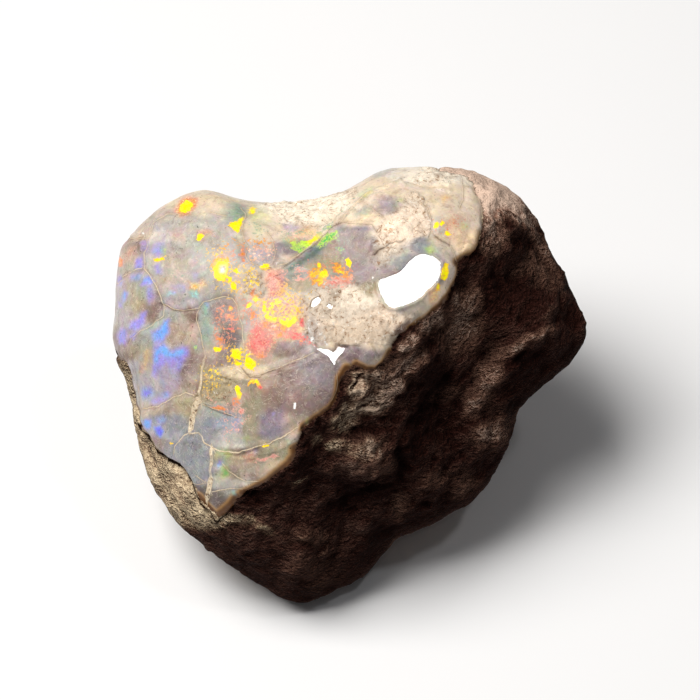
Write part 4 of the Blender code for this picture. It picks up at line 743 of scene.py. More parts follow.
def to_world(place):
    """The face frame's millimetres to world metres."""
    s, c = math.sin(FACE_ELEVATION), math.cos(FACE_ELEVATION)
    x, y, w = np.asarray(place).T
    return np.stack([x, y * s - w * c, y * c + w * s + STONE_MIDDLE], -1) * MM


def as_seen(place):
    """Where the camera sees points of the stone, at the depth of its middle."""
    x, y, w = place.T
    nearer = VIEW_DISTANCE / (VIEW_DISTANCE - w)
    return x * nearer, VIEW_CENTRE + (y - VIEW_CENTRE) * nearer


def seen_bent(place, bends, seed):
    """Where the camera sees points of the stone, pushed about by bends of the given sizes."""
    x, y = as_seen(place)
    return x + rough_lumps(place, bends, seed), y + rough_lumps(place, bends, seed + len(bends))


def smooth_stone():
    """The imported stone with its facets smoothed, ready for rays to be cast at it."""
    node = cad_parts[NODE]
    bm = bmesh.new()
    bm.from_mesh(node.data)
    bmesh.ops.remove_doubles(bm, verts=bm.verts, dist=1e-6)
    flat, square = math.radians(40), math.radians(60)
    bmesh.ops.join_triangles(
        bm, faces=bm.faces, angle_face_threshold=flat, angle_shape_threshold=square
    )
    mesh = bpy.data.meshes.new("smoothing")
    bm.to_mesh(mesh)
    bm.free()
    cage = bpy.data.objects.new("smoothing", mesh)
    bpy.context.scene.collection.objects.link(cage)
    cage.modifiers.new("smooth", "SUBSURF").levels = 2
    deps = bpy.context.evaluated_depsgraph_get()
    deps.update()
    shape = BVHTree.FromObject(cage, deps)
    bpy.data.objects.remove(cage, do_unlink=True)
    return shape


def on_stone(shape, corners):
    """Carries points of a cube of side 2 out to the stone: places and normals, face frame."""
    rays = np.tan(corners * math.pi / 4)
    rays /= np.linalg.norm(rays, axis=1, keepdims=True)
    origin = Vector(to_world(np.zeros(3)))
    turned = to_world(rays) - to_world(np.zeros(3))
    hits = [shape.ray_cast(origin, Vector(ray)) for ray in turned]
    places = to_face(np.array([hit[0] for hit in hits]))
    normals = to_face(to_world(np.zeros(3)) + MM * np.array([hit[1] for hit in hits]))
    return places, normals


def opal_depth(place):
    """How far inside the opal each point of the stone lies, in mm, and - outside it."""
    x, y = as_seen(place)
    wander = rough_lumps(place, OPAL_EDGE_WANDER, 3.0)
    behind = place[:, 2] + OPAL_BEHIND + 2.5 * lumps(place, 6.0, 5.0)
    return np.minimum(area_depth(x, y, OPAL_OUTLINE) + wander, behind)


def stone_cage(shape):
    """A fine cage of quads on a cube, finer where the opal's detail is."""
    bm = bmesh.new()
    bmesh.ops.create_cube(bm, size=2.0)
    bmesh.ops.subdivide_edges(bm, edges=bm.edges, cuts=CELLS - 1, use_grid_fill=True)
    for margin in (None, OPAL_MARGIN):
        middles = np.array([face.calc_center_median() for face in bm.faces])
        place, _ = on_stone(shape, middles)
        chosen = place[:, 2] > FINE_ABOVE if margin is None else opal_depth(place) > -margin
        edges = {edge for face, fine in zip(bm.faces, chosen) if fine for edge in face.edges}
        bmesh.ops.subdivide_edges(bm, edges=list(edges), cuts=1, use_grid_fill=True)
    return bm


def ledge_relief(place):
    """Cuts the stone's soft ledges crisp, each with its own smaller drop."""
    x, y, _ = place.T
    seen_x, seen_y = as_seen(place)
    relief = np.zeros(len(place))
    for drop, fade, crisp_drop, edge in LEDGES:
        soft, square = line_distance(x, y, edge)
        fall = smooth_step(soft, -LEDGE_WIDTH, LEDGE_WIDTH) * np.exp(-np.maximum(soft, 0) / fade)
        crisp, square_seen = line_distance(seen_x, seen_y, edge)
        cut = smooth_step(crisp, -0.06, 0.16) * np.exp(-np.maximum(crisp, 0) / fade)
        relief += drop * square**2 * fall - crisp_drop * square_seen**2 * cut
    return relief


def rock_forms(place):
    """The height and the dustiness of the rock side's lumps and hollows."""
    x, y = seen_bent(place, ROCK_BEND, 97.0)
    height = np.zeros(len(place))
    dust = np.zeros(len(place))
    for px, py, length, width, turn, high, dusty in ROCK_FORMS:
        c, s = math.cos(math.radians(turn)), math.sin(math.radians(turn))
        along, across = (x - px) * c + (y - py) * s, (y - py) * c - (x - px) * s
        swell = np.exp(-2.0 * ((along / length) ** 2 + (across / width) ** 2) ** 1.3)
        height += high * swell
        dust = np.maximum(dust, dusty * swell)
    return height, dust


def rock_relief(place):
    """Height of the rock's own detail: lumps, streaks across the face, grain and pits."""
    along = STREAK_WAY / np.linalg.norm(STREAK_WAY)
    streaked = place - 0.62 * np.outer(place @ along, along)
    relief = rough_lumps(place, ROCK_LUMPS, 21.0) + rough_lumps(streaked, ROCK_STREAKS, 31.0)
    return relief - 0.6 * np.maximum(lumps(place, 1.1, 41.0) - 0.32, 0)


def flatten_mirrors(place):
    """Cuts the polished breaks flat, square to the way halfway from the camera to their light."""
    x, y = seen_bent(place, MIRROR_BEND, 45.0)
    towards = np.array([0.0, 0.0, 1.0]) + MIRROR_LIGHT / np.linalg.norm(MIRROR_LIGHT)
    slope = -towards[:2] / towards[2]
    mirror = np.full(len(x), -OFF_FACE)
    for outline in MIRRORS:
        depth = area_depth(x, y, outline)
        mirror = np.maximum(mirror, depth)
        inside = (depth > 0) & (place[:, 2] > 0)
        flat = place[:, :2] @ slope
        level = np.mean(place[inside, 2] - flat[inside])
        share = smooth_step(depth, -0.3, 0.0) * (place[:, 2] > 0)
        place[:, 2] += share * (level + flat - place[:, 2])
    return mirror


def crumble_depth(place, front):
    """How far inside the crumbled, weathered patches each point of the opal lies."""
    x, y = as_seen(place)
    ragged = rough_lumps(place, CRUMBLE_EDGE, 6.0)
    depth = np.max([area_depth(x, y, patch) for patch in CRUMBLED], 0)
    return depth + ragged - OFF_FACE * (1 - front)


class Paint:
    """A coat of colour over the points of the stone, and how thick it is at each."""

    def __init__(self, count):
        self.colour = np.zeros((count, 3))
        self.cover = np.full(count, 1e-4)
        self.thickness = np.zeros(count)

    def lay(self, colour, share, thickness):
        """Lays a colour, or one for each point, over what is there."""
        self.colour += share[:, None] * (colour - self.colour)
        self.cover += share * (1 - self.cover)
        self.thickness = np.maximum(self.thickness, thickness)

    def values(self):
        return np.column_stack([np.clip(self.colour / self.cover[:, None], 0, 1), self.thickness])


def paint_play(place, front, rows, reach, seed):
    """The play of colour of some rows: colour, strength, softness and outline. Each goes over
    to its second colour at the rim. That one is kept too, for the odd grain that shines in it."""
    x, y = seen_bent(place, PLAY_BEND, seed)
    main, second = Paint(len(place)), Paint(len(place))
    for colour, strength, soft, outline in rows:
        depth = area_depth(x, y, outline)
        share = smooth_step(depth, -soft - reach, soft)
        thickness = front * strength * smooth_step(depth, -soft, soft)
        core, rim = np.array(colour), np.array(NEIGHBOUR[colour])
        inner = smooth_step(depth, -0.6 * soft, 1.2 * soft)[:, None]
        main.lay(rim + inner * (core - rim), share, thickness)
        second.lay(rim, share, thickness)
    return main, second


def hidden_flashes():
    """Flashes where the opal wraps behind the edge: middle, radius, colour and strength."""
    draw = random.Random(7)
    colours = [VIOLET, BLUE, AZURE, CYAN, LEAF, YELLOW, ORANGE, SALMON]
    flashes = []
    for _ in range(HIDDEN_FLASHES):
        middle = np.array([draw.uniform(-24, 14), draw.uniform(2, 24), draw.uniform(-7, 1)])
        radius = draw.uniform(0.5, 1.6)
        colour = np.array(draw.choice(colours))
        flashes.append((middle, radius, colour, draw.uniform(0.4, 0.9)))
    return flashes


def paint_body(place):
    """The opal's colour, plate by plate, with the painted light and shade that its tints carry."""
    x, y = as_seen(place)
    x = x + 0.45 * lumps(place, 2.0, 71.0) + 0.25 * lumps(place, 0.8, 73.0)
    y = y + 0.45 * lumps(place, 2.0, 72.0) + 0.25 * lumps(place, 0.8, 74.0)
    total = np.full(len(x), 0.02)
    colour = np.outer(total, PEARL)
    for tint, plates in PLATES.items():
        for px, py, across, up in plates:
            share = np.exp(-(((x - px) / across) ** 2 + ((y - py) / up) ** 2) ** 1.2)
            total = total + share
            colour = colour + share[:, None] * np.array(tint)
    return colour / total[:, None]


def paint_rock(place, front):
    """How weathered to tan the rock is: 1 on the worn rim, 0 fresh."""
    x, y = as_seen(place)
    strip = smooth_step(-x - 0.62 * y, 16.2, 18.2) * smooth_step(y, -16.0, -11.5)
    strip *= 1 - smooth_step(y, -13.4, -12.4) * smooth_step(x, -13.2, -12.2)
    strip *= 1 - 0.55 * smooth_step(x, -13.6, -11.0)
    strip *= 1.05 - 0.22 * smooth_step(-x - 0.62 * y, 20.5, 24.0)
    strip *= 0.35 + 0.65 * smooth_step(-y, -2.0, 3.0)
    shoulder = y + 1.6 * lumps(place, 2.5, 83.0) - 0.15 * (np.maximum(x, 8.0) - 12.0)
    shoulder = 2.0 * smooth_step(shoulder, 14.0, 19.0)
    back = 0.50 * smooth_step(-place[:, 2], 0.0, 9.0) + 0.35 * lumps(place, 5.0, 81.0)
    back += 0.35 * smooth_step(y, 6.0, 16.0) * smooth_step(-place[:, 2], 0.0, 3.0)
    dust = 0.72 * front * rock_forms(place)[1]
    worn = np.maximum.reduce([front * strip, shoulder, back, dust])
    return np.maximum(worn * (1 + 0.3 * lumps(place, 2.0, 82.0)), 0)


def turned_away(normal):
    """How far each point of the smooth stone faces away from the key light: 0 to 1. It paints shade into
    the rock's colour.
    """
    return smooth_step(normal @ (-KEY_LIGHT / np.linalg.norm(KEY_LIGHT)), -0.35, 0.45)


def marks_on(place, front, lines):
    """What the finish needs of a set of lines at each point, and far off behind the edge."""
    x, y = as_seen(place)
    bent = rough_lumps(place, LINE_BEND, 91.0)
    return np.column_stack(nearest_line(x + bent, y - bent, lines)) + OFF_FACE * (1 - front)[:, None]


def opal_relief(place, edge, crumble, seams):
    """Height of the opal's own detail: plates, ledges, crumbs and the dip at its edge."""
    in_crumble = smooth_step(crumble, -0.3, 0.3)
    plates = rough_lumps(place, PLATE_BUMPS, 11.0)
    plates += 0.10 * (1 - np.exp(-np.maximum(seams[:, 2], 0) / 0.6)) - 0.08
    relief = plates + in_crumble * (rough_lumps(place, CRUMBS, 51.0) - plates) + ledge_relief(place)
    return relief - LIP_DROP * np.exp(-np.maximum(edge, 0) / LIP_FADE)


def crack_relief(cracks):
    """How deep the open cracks cut: the wide ones deepest."""
    across = np.maximum(cracks[:, 2], 0) / CRACK_WIDTH
    return np.minimum(25.0 * cracks[:, 1] ** 2, CRACK_DEPTH) * np.exp(-(across**2))


def play_of_colour(place, front):
    """The opal's washes, flashes and sparks, as four numbers a point for each."""
    wash, _ = paint_play(place, front, WASHES, 0.5, 61.0)
    for middle, radius, colour, strength in hidden_flashes():
        gap = np.linalg.norm(place - middle, axis=1) / radius
        share = (1 - front) * smooth_step(1.2 - gap, 0.0, 0.5)
        wash.lay(colour, share, strength * share)
    flash, flash_second = paint_play(place, front, FLASHES, 0.4, 65.0)
    spark, spark_second = paint_play(place, front, SPARKLES, 0.4, 69.0)
    return {
        "wash": wash.values(), "flash": flash.values(), "flash_second": flash_second.values(),
        "spark": spark.values(), "spark_second": spark_second.values(),
    }


def carve_stone():
    """The stone as one fine mesh, with what its finish needs stored on its points."""
    shape = smooth_stone()
    bm = stone_cage(shape)
    place, normal = on_stone(shape, np.array([v.co for v in bm.verts]))
    x, y = as_seen(place)
    front = smooth_step(place[:, 2], -3.0, 0.5)
    edge = opal_depth(place)
    crumble = crumble_depth(place, front)
    seams = marks_on(place, front, SEAMS)
    cracks = marks_on(place, front, CRACKS_AND_SHADOW_LINES)
    amber = np.maximum(nearest_line(x, y, AMBER_RIMS)[2], 0) + OFF_FACE * (1 - front)
    raised = front * rock_forms(place)[0]

    on_opal = smooth_step(edge, -0.25, 0.25)
    rough = rock_relief(place) * (1 - 0.65 * np.exp(-((normal[:, 2] / 0.35) ** 2)))
    relief = on_opal * opal_relief(place, edge, crumble, seams) + (1 - on_opal) * (rough + raised)
    relief -= crack_relief(cracks)
    clear_of_floor = smooth_step(to_world(place)[:, 2] / MM, 0.0, 1.2)
    place = place + normal * (relief * clear_of_floor)[:, None]
    mirror = flatten_mirrors(place)
    world = to_world(place)
    world[:, 2] = np.maximum(world[:, 2], 0.0)
    for vert, co in zip(bm.verts, world):
        vert.co = co
    bmesh.ops.recalc_face_normals(bm, faces=bm.faces)

    mesh = bpy.data.meshes.new("stone")
    bm.to_mesh(mesh)
    bm.free()
    mesh.shade_smooth()
    kept = {
        "body": np.column_stack([paint_body(place), np.ones(len(place))]),
        "edge": edge, "crumble": crumble, "mirror": mirror, "seam": seams, "crack_and_shadow": cracks,
        "amber": np.exp(-((amber / 0.50) ** 2)), "weathered": paint_rock(place, front),
        # The rock's lumps and grain, less painted shade where the stone faces away from the key light.
        "raised": raised + 0.6 * rough - 0.7 * front * turned_away(normal),
        **play_of_colour(place, front),
    }
    for name, values in kept.items():
        store(mesh, name, values)
    return mesh, edge


def store(mesh, name, values):
    """Keeps a number, three numbers or a colour for each point of the mesh."""
    kinds = {1: ("FLOAT", "value"), 3: ("FLOAT_VECTOR", "vector"), 4: ("FLOAT_COLOR", "color")}
    kind, field = kinds[values.size // len(values)]
    layer = mesh.attributes.new(name, kind, "POINT")
    layer.data.foreach_set(field, values.astype(np.float32).ravel())


# ---- finishes -------------------------------------------------------------------------


class Term:
    """A number in a material. Sums and products of terms add the Math nodes they need."""

    def __init__(self, finish, socket):
        self.finish = finish
        self.socket = socket

    def math(self, operation, first, second=0.0):
        """One Math node on two numbers, each a term or a plain one."""
        return self.finish.node("ShaderNodeMath", {"operation": operation}, {0: first, 1: second})

    def __add__(self, other):
        return self.math("ADD", self, other)

    def __radd__(self, other):
        return self.math("ADD", other, self)

    def __sub__(self, other):
        return self.math("SUBTRACT", self, other)

    def __rsub__(self, other):
        return self.math("SUBTRACT", other, self)

    def __mul__(self, other):
        return self.math("MULTIPLY", self, other)

    def __rmul__(self, other):
        return self.math("MULTIPLY", other, self)

    def __abs__(self):
        return self.math("ABSOLUTE", self)


class Finish:
    """A material on one Principled shader, and what it takes to write its nodes."""

    def __init__(self, name, **constants):
        self.material = bpy.data.materials.new(name)
        self.material.use_nodes = True
        self.tree = self.material.node_tree
        self.shader = self.tree.nodes["Principled BSDF"]
        for key, value in constants.items():
            self.shader.inputs[key.replace("_", " ")].default_value = value
        place = self.node("ShaderNodeTexCoord", out="Object")
        self.place = self.scaled(place, 1 / MM)

    def node(self, kind, settings=None, sockets=None, out=0):
        """Adds a node: its settings first, then the values or links of its sockets."""
        node = self.tree.nodes.new(kind)
        for key, value in (settings or {}).items():
            setattr(node, key, value)
        for key, value in (sockets or {}).items():
            self.join(value, node.inputs[key])
        return Term(self, node.outputs[out])

    def join(self, value, socket):
        """Links a term to a socket, or sets a plain value or colour on it."""
        if isinstance(value, Term):
            self.tree.links.new(value.socket, socket)
        elif socket.type == "RGBA":
            socket.default_value = (*value, 1.0)
        else:
            socket.default_value = value

    def feed(self, **terms):
        """Links terms to the shader's sockets, by their names with _ for each space."""
        for key, term in terms.items():
            self.join(term, self.shader.inputs[key.replace("_", " ")])

    def stored(self, name, out="Fac"):
        """What the mesh keeps under a name."""
        return self.node("ShaderNodeAttribute", {"attribute_name": name}, out=out)

    def scaled(self, vector, by):
        return self.node("ShaderNodeVectorMath", {"operation": "SCALE"}, {0: vector, "Scale": by})

    def noise(self, wave, detail=2.0, rough=0.5, place=None, warp=0.0, out=0):
        """Noise from 0 to 1, with lumps of the given size in millimetres."""
        sockets = {"Vector": place or self.place, "Scale": 1 / wave, "Detail": detail,
                   "Roughness": rough, "Distortion": warp}
        return self.node("ShaderNodeTexNoise", None, sockets, out)

    def shaken(self, wave, amount):
        """The place, pushed about by noise."""
        push = self.node("ShaderNodeVectorMath", {"operation": "SUBTRACT"},
                         {0: self.noise(wave, out="Color"), 1: (0.5, 0.5, 0.5)})
        push = self.scaled(push, 2 * amount)
        return self.node("ShaderNodeVectorMath", {"operation": "ADD"}, {0: self.place, 1: push})

    def parts(self, vector):
        """A vector's or a colour's three numbers."""
        split = self.node("ShaderNodeSeparateXYZ", None, {0: vector})
        return [Term(self, part) for part in split.socket.node.outputs]

    def grains(self, size, place):
        """Angular grains: three numbers from 0 to 1 that are random for each grain."""
        sockets = {"Vector": place, "Scale": 1 / size}
        return self.parts(self.node("ShaderNodeTexVoronoi", None, sockets, "Color"))

    def line(self, name, ragged):
        """1 on a stored set of lines and 0 beside them, and how far outside them a point is."""
        side, half, clear = self.parts(self.stored(name, "Vector"))
        inside = self.ramp(abs(side) - half + ragged, 0.045, -0.025)
        return inside * self.ramp(clear, 0.32, 0.20), clear, half

    def ramp(self, value, low, high, start=0.0, end=1.0):
        """The value from low to high carried smoothly to start to end, and held beyond them."""
        sockets = {"Value": value, "From Min": low, "From Max": high, "To Min": start, "To Max": end}
        return self.node("ShaderNodeMapRange", {"interpolation_type": "SMOOTHSTEP"}, sockets)

    def mix(self, share, first, second, blend="MIX"):
        """The first colour, with the second blended over it by the share."""
        settings = {"data_type": "RGBA", "blend_type": blend}
        return self.node("ShaderNodeMix", settings, {0: share, 6: first, 7: second}, out=2)

    def bump(self, height, distance, strength=1.0, below=None):
        """The normal of a relief that is so many millimetres deep, on top of another."""
        sockets = {"Height": height, "Distance": distance * MM, "Strength": strength}
        if below:
            sockets["Normal"] = below
        return self.node("ShaderNodeBump", None, sockets)


BLACK = (0.0, 0.0, 0.0)
BRIGHTER = (1.30, 1.30, 1.30)
HAIR_CRACK = (0.86, 0.78, 0.66)
AMBER, DEEP_AMBER, OPAL_RIND = (0.44, 0.23, 0.07), (0.13, 0.05, 0.014), (0.10, 0.05, 0.025)
CRUMB_CREASE, CRUMB_PIT, PALE_CRUMB = (0.46, 0.33, 0.23), (0.33, 0.18, 0.10), (0.96, 0.93, 0.88)
GOLD_GRAIN, RED_GRAIN = (0.90, 0.66, 0.36), (0.60, 0.15, 0.07)
SEAM_CREAM, SEAM_CHALK, SEAM_PIT = (0.60, 0.45, 0.29), (0.88, 0.76, 0.56), (0.13, 0.06, 0.03)
# Painted shade beside the seams and beside the cracks.
SHADE_BESIDE_SEAM, SHADE_BESIDE_CRACK = (0.70, 0.64, 0.58), (0.60, 0.50, 0.42)
# Cracks painted dark, partly as painted shadow lines.
OPAL_CRACK_SHADE = (0.040, 0.018, 0.008)


class OpalFinish(Finish):
    """The opal's material, with the noise and the marks that its layers share."""

    def __init__(self):
        super().__init__(
            "opal_face", IOR=1.45, Subsurface_Weight=0.12, Subsurface_Radius=(1.0, 0.75, 0.6),
            Subsurface_Scale=0.5 * MM, Coat_Roughness=0.06, Emission_Strength=0.30,
            Specular_IOR_Level=0.16,
        )
        self.wisps = self.noise(0.7, 4.0, 0.65, warp=1.2)
        self.fine = self.noise(0.22, 3.0, 0.65)
        self.speckle = self.noise(0.42, 3.0, 0.7, warp=0.6)
        self.hues = self.noise(0.9, 4.0, 0.7, warp=0.5, out="Color")
        ragged = 0.7 * (self.fine - 0.5) + 0.5 * (self.wisps - 0.5)
        self.crumble = self.ramp(self.stored("crumble") + ragged, -0.18, 0.18)
        self.glassy = 1 - self.crumble
        self.mirror = self.ramp(self.stored("mirror"), -0.05, 0.05)
        seam, self.beside_seam, self.seam_half = self.line("seam", 0.10 * (self.fine - 0.5))
        self.seam = seam * self.ramp(self.noise(1.6), 0.36, 0.50, 0.45, 1.0)
        crack_and_shadow, self.beside_crack, half = self.line("crack_and_shadow", 0.16 * (self.fine - 0.5))
        self.crack_and_shadow = crack_and_shadow * self.ramp(half, 0.02, 0.12, 0.3, 1.0)


def milky_body(f):
    """The opal's own tints, mottled, with hair cracks and amber rims."""
    clouds = f.noise(2.2, 5.0, 0.62, warp=0.8)
    hairs = abs(f.noise(1.5, 4.0, 0.6, warp=1.5) - 0.5)
    dusty = f.ramp(f.noise(4.0, 3.0, 0.6), 0.42, 0.62, 0.12, 0.75)
    amber = f.stored("amber")
    body = f.mix(0.30 * f.glassy, f.stored("body", "Color"), f.hues, "OVERLAY")
    body = f.mix(f.ramp(clouds, 0.52, 0.70), body, BRIGHTER, "MULTIPLY")
    body = f.mix(f.ramp(clouds, 0.48, 0.32), body, (0.72, 0.68, 0.65), "MULTIPLY")
    body = f.mix(f.ramp(f.wisps, 0.54, 0.72, 0.0, 0.8), body, (1.30, 1.28, 1.26), "MULTIPLY")
    body = f.mix(f.ramp(f.wisps, 0.44, 0.30, 0.0, 0.7), body, (0.80, 0.78, 0.76), "MULTIPLY")
    body = f.mix(f.ramp(f.fine, 0.56, 0.72) * dusty, body, (1.28, 1.28, 1.28), "MULTIPLY")
    body = f.mix(f.ramp(f.fine, 0.44, 0.28) * dusty, body, (0.70, 0.65, 0.60), "MULTIPLY")
    body = f.mix(f.ramp(hairs, 0.012, 0.0, 0.0, 0.40) * f.glassy, body, HAIR_CRACK)
    body = f.mix(f.ramp(amber, 0.10, 0.65, 0.0, 0.80), body, AMBER)
    body = f.mix(f.ramp(amber, 0.50, 1.0, 0.0, 0.95), body, DEEP_AMBER)
    return f.mix(f.ramp(f.stored("edge"), 0.20, -0.05, 0.0, 0.9), body, OPAL_RIND)


def crumbled(f, body):
    """Crumbled patches: creases, brown pits and pale crumbs."""
    creases = f.noise(0.9, 5.0, 0.72, warp=1.8)
    body = f.mix(f.ramp(creases, 0.47, 0.34) * f.crumble, body, CRUMB_CREASE, "MULTIPLY")
    body = f.mix(f.ramp(creases, 0.56, 0.70, 0.0, 0.8) * f.crumble, body, BRIGHTER, "MULTIPLY")
    body = f.mix(f.ramp(f.speckle, 0.42, 0.31, 0.0, 0.8) * f.crumble, body, CRUMB_PIT)
    return f.mix(f.ramp(f.speckle, 0.60, 0.68, 0.0, 0.6) * f.crumble, body, PALE_CRUMB)


def soft_washes(f, glitter):
    """The soft washes, and how much of them shows."""
    share = f.stored("wash", "Alpha") * f.ramp(f.wisps, 0.30, 0.55, 0.75, 1.0)
    wash = f.mix(0.55, f.stored("wash", "Color"), f.hues, "OVERLAY")
    red, _, _ = f.parts(wash)
    reddish = f.ramp(red, 0.42, 0.60)
    wash = f.mix(f.ramp(glitter, 0.52, 0.60, 0.0, 0.80) * reddish, wash, GOLD_GRAIN)
    wash = f.mix(f.ramp(glitter, 0.47, 0.39, 0.0, 0.75) * reddish, wash, RED_GRAIN)
    wash = f.mix(f.ramp(f.fine, 0.47, 0.34, 0.0, 0.7), wash, (0.72, 0.66, 0.66), "MULTIPLY")
    wash = f.mix(f.ramp(f.fine, 0.56, 0.70, 0.0, 0.7), wash, (1.5, 1.5, 1.5), "MULTIPLY")
    return wash, share


def with_play(f, colour):
    """Washes, scattered sparks and ragged bright flashes over a colour, and the painted glow that they
    give off.
    """
    glitter = f.noise(0.25, 3.0, 0.7, warp=0.4)
    wash, share = soft_washes(f, glitter)
    colour = f.mix(share, colour, wash)
    painted_glow = f.mix(share * 0.6, BLACK, wash)
    chance, _, _ = f.grains(0.24, f.shaken(0.3, 0.12))
    odd = f.ramp(f.noise(0.28, 3.0, 0.7), 0.43, 0.57)
    kinds = (("spark", 2.0 * (glitter - 0.5), 0.9), ("flash", 1.1 * (f.speckle - 0.5), 0.7))
    for name, ragged, mixed in kinds:
        thick = f.stored(name, "Alpha") + ragged + 0.5 * (chance - 0.5)
        rim = f.ramp(thick, 0.38, 0.56, 0.0, 0.75)
        core = f.ramp(thick, 0.56, 0.80)
        second = f.stored(name + "_second", "Color")
        shine = f.mix(odd * mixed, f.stored(name, "Color"), second)
        shine = f.mix(f.ramp(f.fine, 0.47, 0.34), shine, (0.85, 0.72, 0.70), "MULTIPLY")
        shine = f.mix(f.ramp(f.fine, 0.56, 0.68), shine, (1.6, 1.7, 1.7), "MULTIPLY")
        colour = f.mix(core, f.mix(rim, colour, second), shine)
        painted_glow = f.mix(core, f.mix(rim * 0.7, painted_glow, second), shine)
    return colour, painted_glow


def with_seams_cracks_and_shade(f, colour, painted_glow):
    """Cream seams, pitted where they are wide, and dark cracks over it all, with painted shade beside
    both and painted shadow lines among the cracks.
    """
    wide = f.ramp(f.seam_half, 0.12, 0.20)
    cream = f.mix(f.ramp(f.fine, 0.36, 0.62), SEAM_CREAM, SEAM_CHALK)
    cream = f.mix(f.ramp(f.speckle, 0.47, 0.40, 0.0, 0.9) * wide, cream, SEAM_PIT)
    # Painted shade beside the seams and beside the cracks.
    beside_seam = f.ramp(f.beside_seam, 0.30, 0.05, 0.0, 0.35)
    beside_crack = f.ramp(f.beside_crack, 0.20, 0.02, 0.0, 0.30)
    colour = f.mix(beside_seam, colour, SHADE_BESIDE_SEAM, "MULTIPLY")
    colour = f.mix(f.seam * 0.9, colour, cream)
    colour = f.mix(beside_crack, colour, SHADE_BESIDE_CRACK, "MULTIPLY")
    # The cracks painted dark, some of them as painted shadow lines.
    colour = f.mix(f.crack_and_shadow, colour, OPAL_CRACK_SHADE)
    return colour, f.mix(f.ramp(f.seam + f.crack_and_shadow, 0.0, 0.6), painted_glow, BLACK)


def opal_surface(f):
    """How rough the opal is, and its normal: glassy plates, dull crumbs, flat mirrors."""
    rough = f.ramp(f.wisps, 0.3, 0.7, 0.26, 0.42) * f.glassy + 0.85 * f.crumble
    rough = (rough + 0.3 * f.seam) * (1 - 0.85 * f.mirror)
    ripple = f.noise(0.55, 3.0, 0.6) * (1 - f.mirror)
    grit = f.speckle * f.crumble + f.fine * (f.crumble + f.seam + 0.15)
    normal = f.bump(ripple, 0.07, 0.5)
    return rough, f.bump(grit * (1 - f.mirror), 0.12, 0.7, normal)


def opal_finish():
    """Milky opal with cream seams and crumbled patches, and its play of colour."""
    f = OpalFinish()
    colour, painted_glow = with_play(f, crumbled(f, milky_body(f)))
    colour, painted_glow = with_seams_cracks_and_shade(f, colour, painted_glow)
    rough, normal = opal_surface(f)
    # The emission is a painted glow: it keeps the play of colour bright where little light falls.
    f.feed(Base_Color=colour, Emission_Color=painted_glow, Roughness=rough, Normal=normal)
    f.feed(Coat_Weight=0.06 + 0.94 * f.mirror)
    return f.material


# Fresh rock: from painted shade in the hollows, through browns, to dust and painted light on what stands
# high and faces up.
ROCK_HOLLOW_SHADE, ROCK_RED_BROWN = (0.008, 0.0021, 0.0014), (0.058, 0.0200, 0.0145)
ROCK_BROWN, ROCK_DUST_AND_LIGHT = (0.165, 0.088, 0.066), (0.28, 0.205, 0.160)
RIM_TAN, SHOULDER_TAN = (0.60, 0.45, 0.285), (0.37, 0.21, 0.15)
RIM_PALE, SHOULDER_PALE = (0.92, 0.76, 0.52), (0.78, 0.58, 0.46)
WORN_BROWN = (0.180, 0.094, 0.066)
ROCK_PORE = (0.34, 0.26, 0.21)
# Painted shade beside the rock's cracks, and the cracks painted dark.
SHADE_BESIDE_ROCK_CRACK, ROCK_CRACK_SHADE = (0.05, 0.028, 0.018), (0.015, 0.007, 0.004)


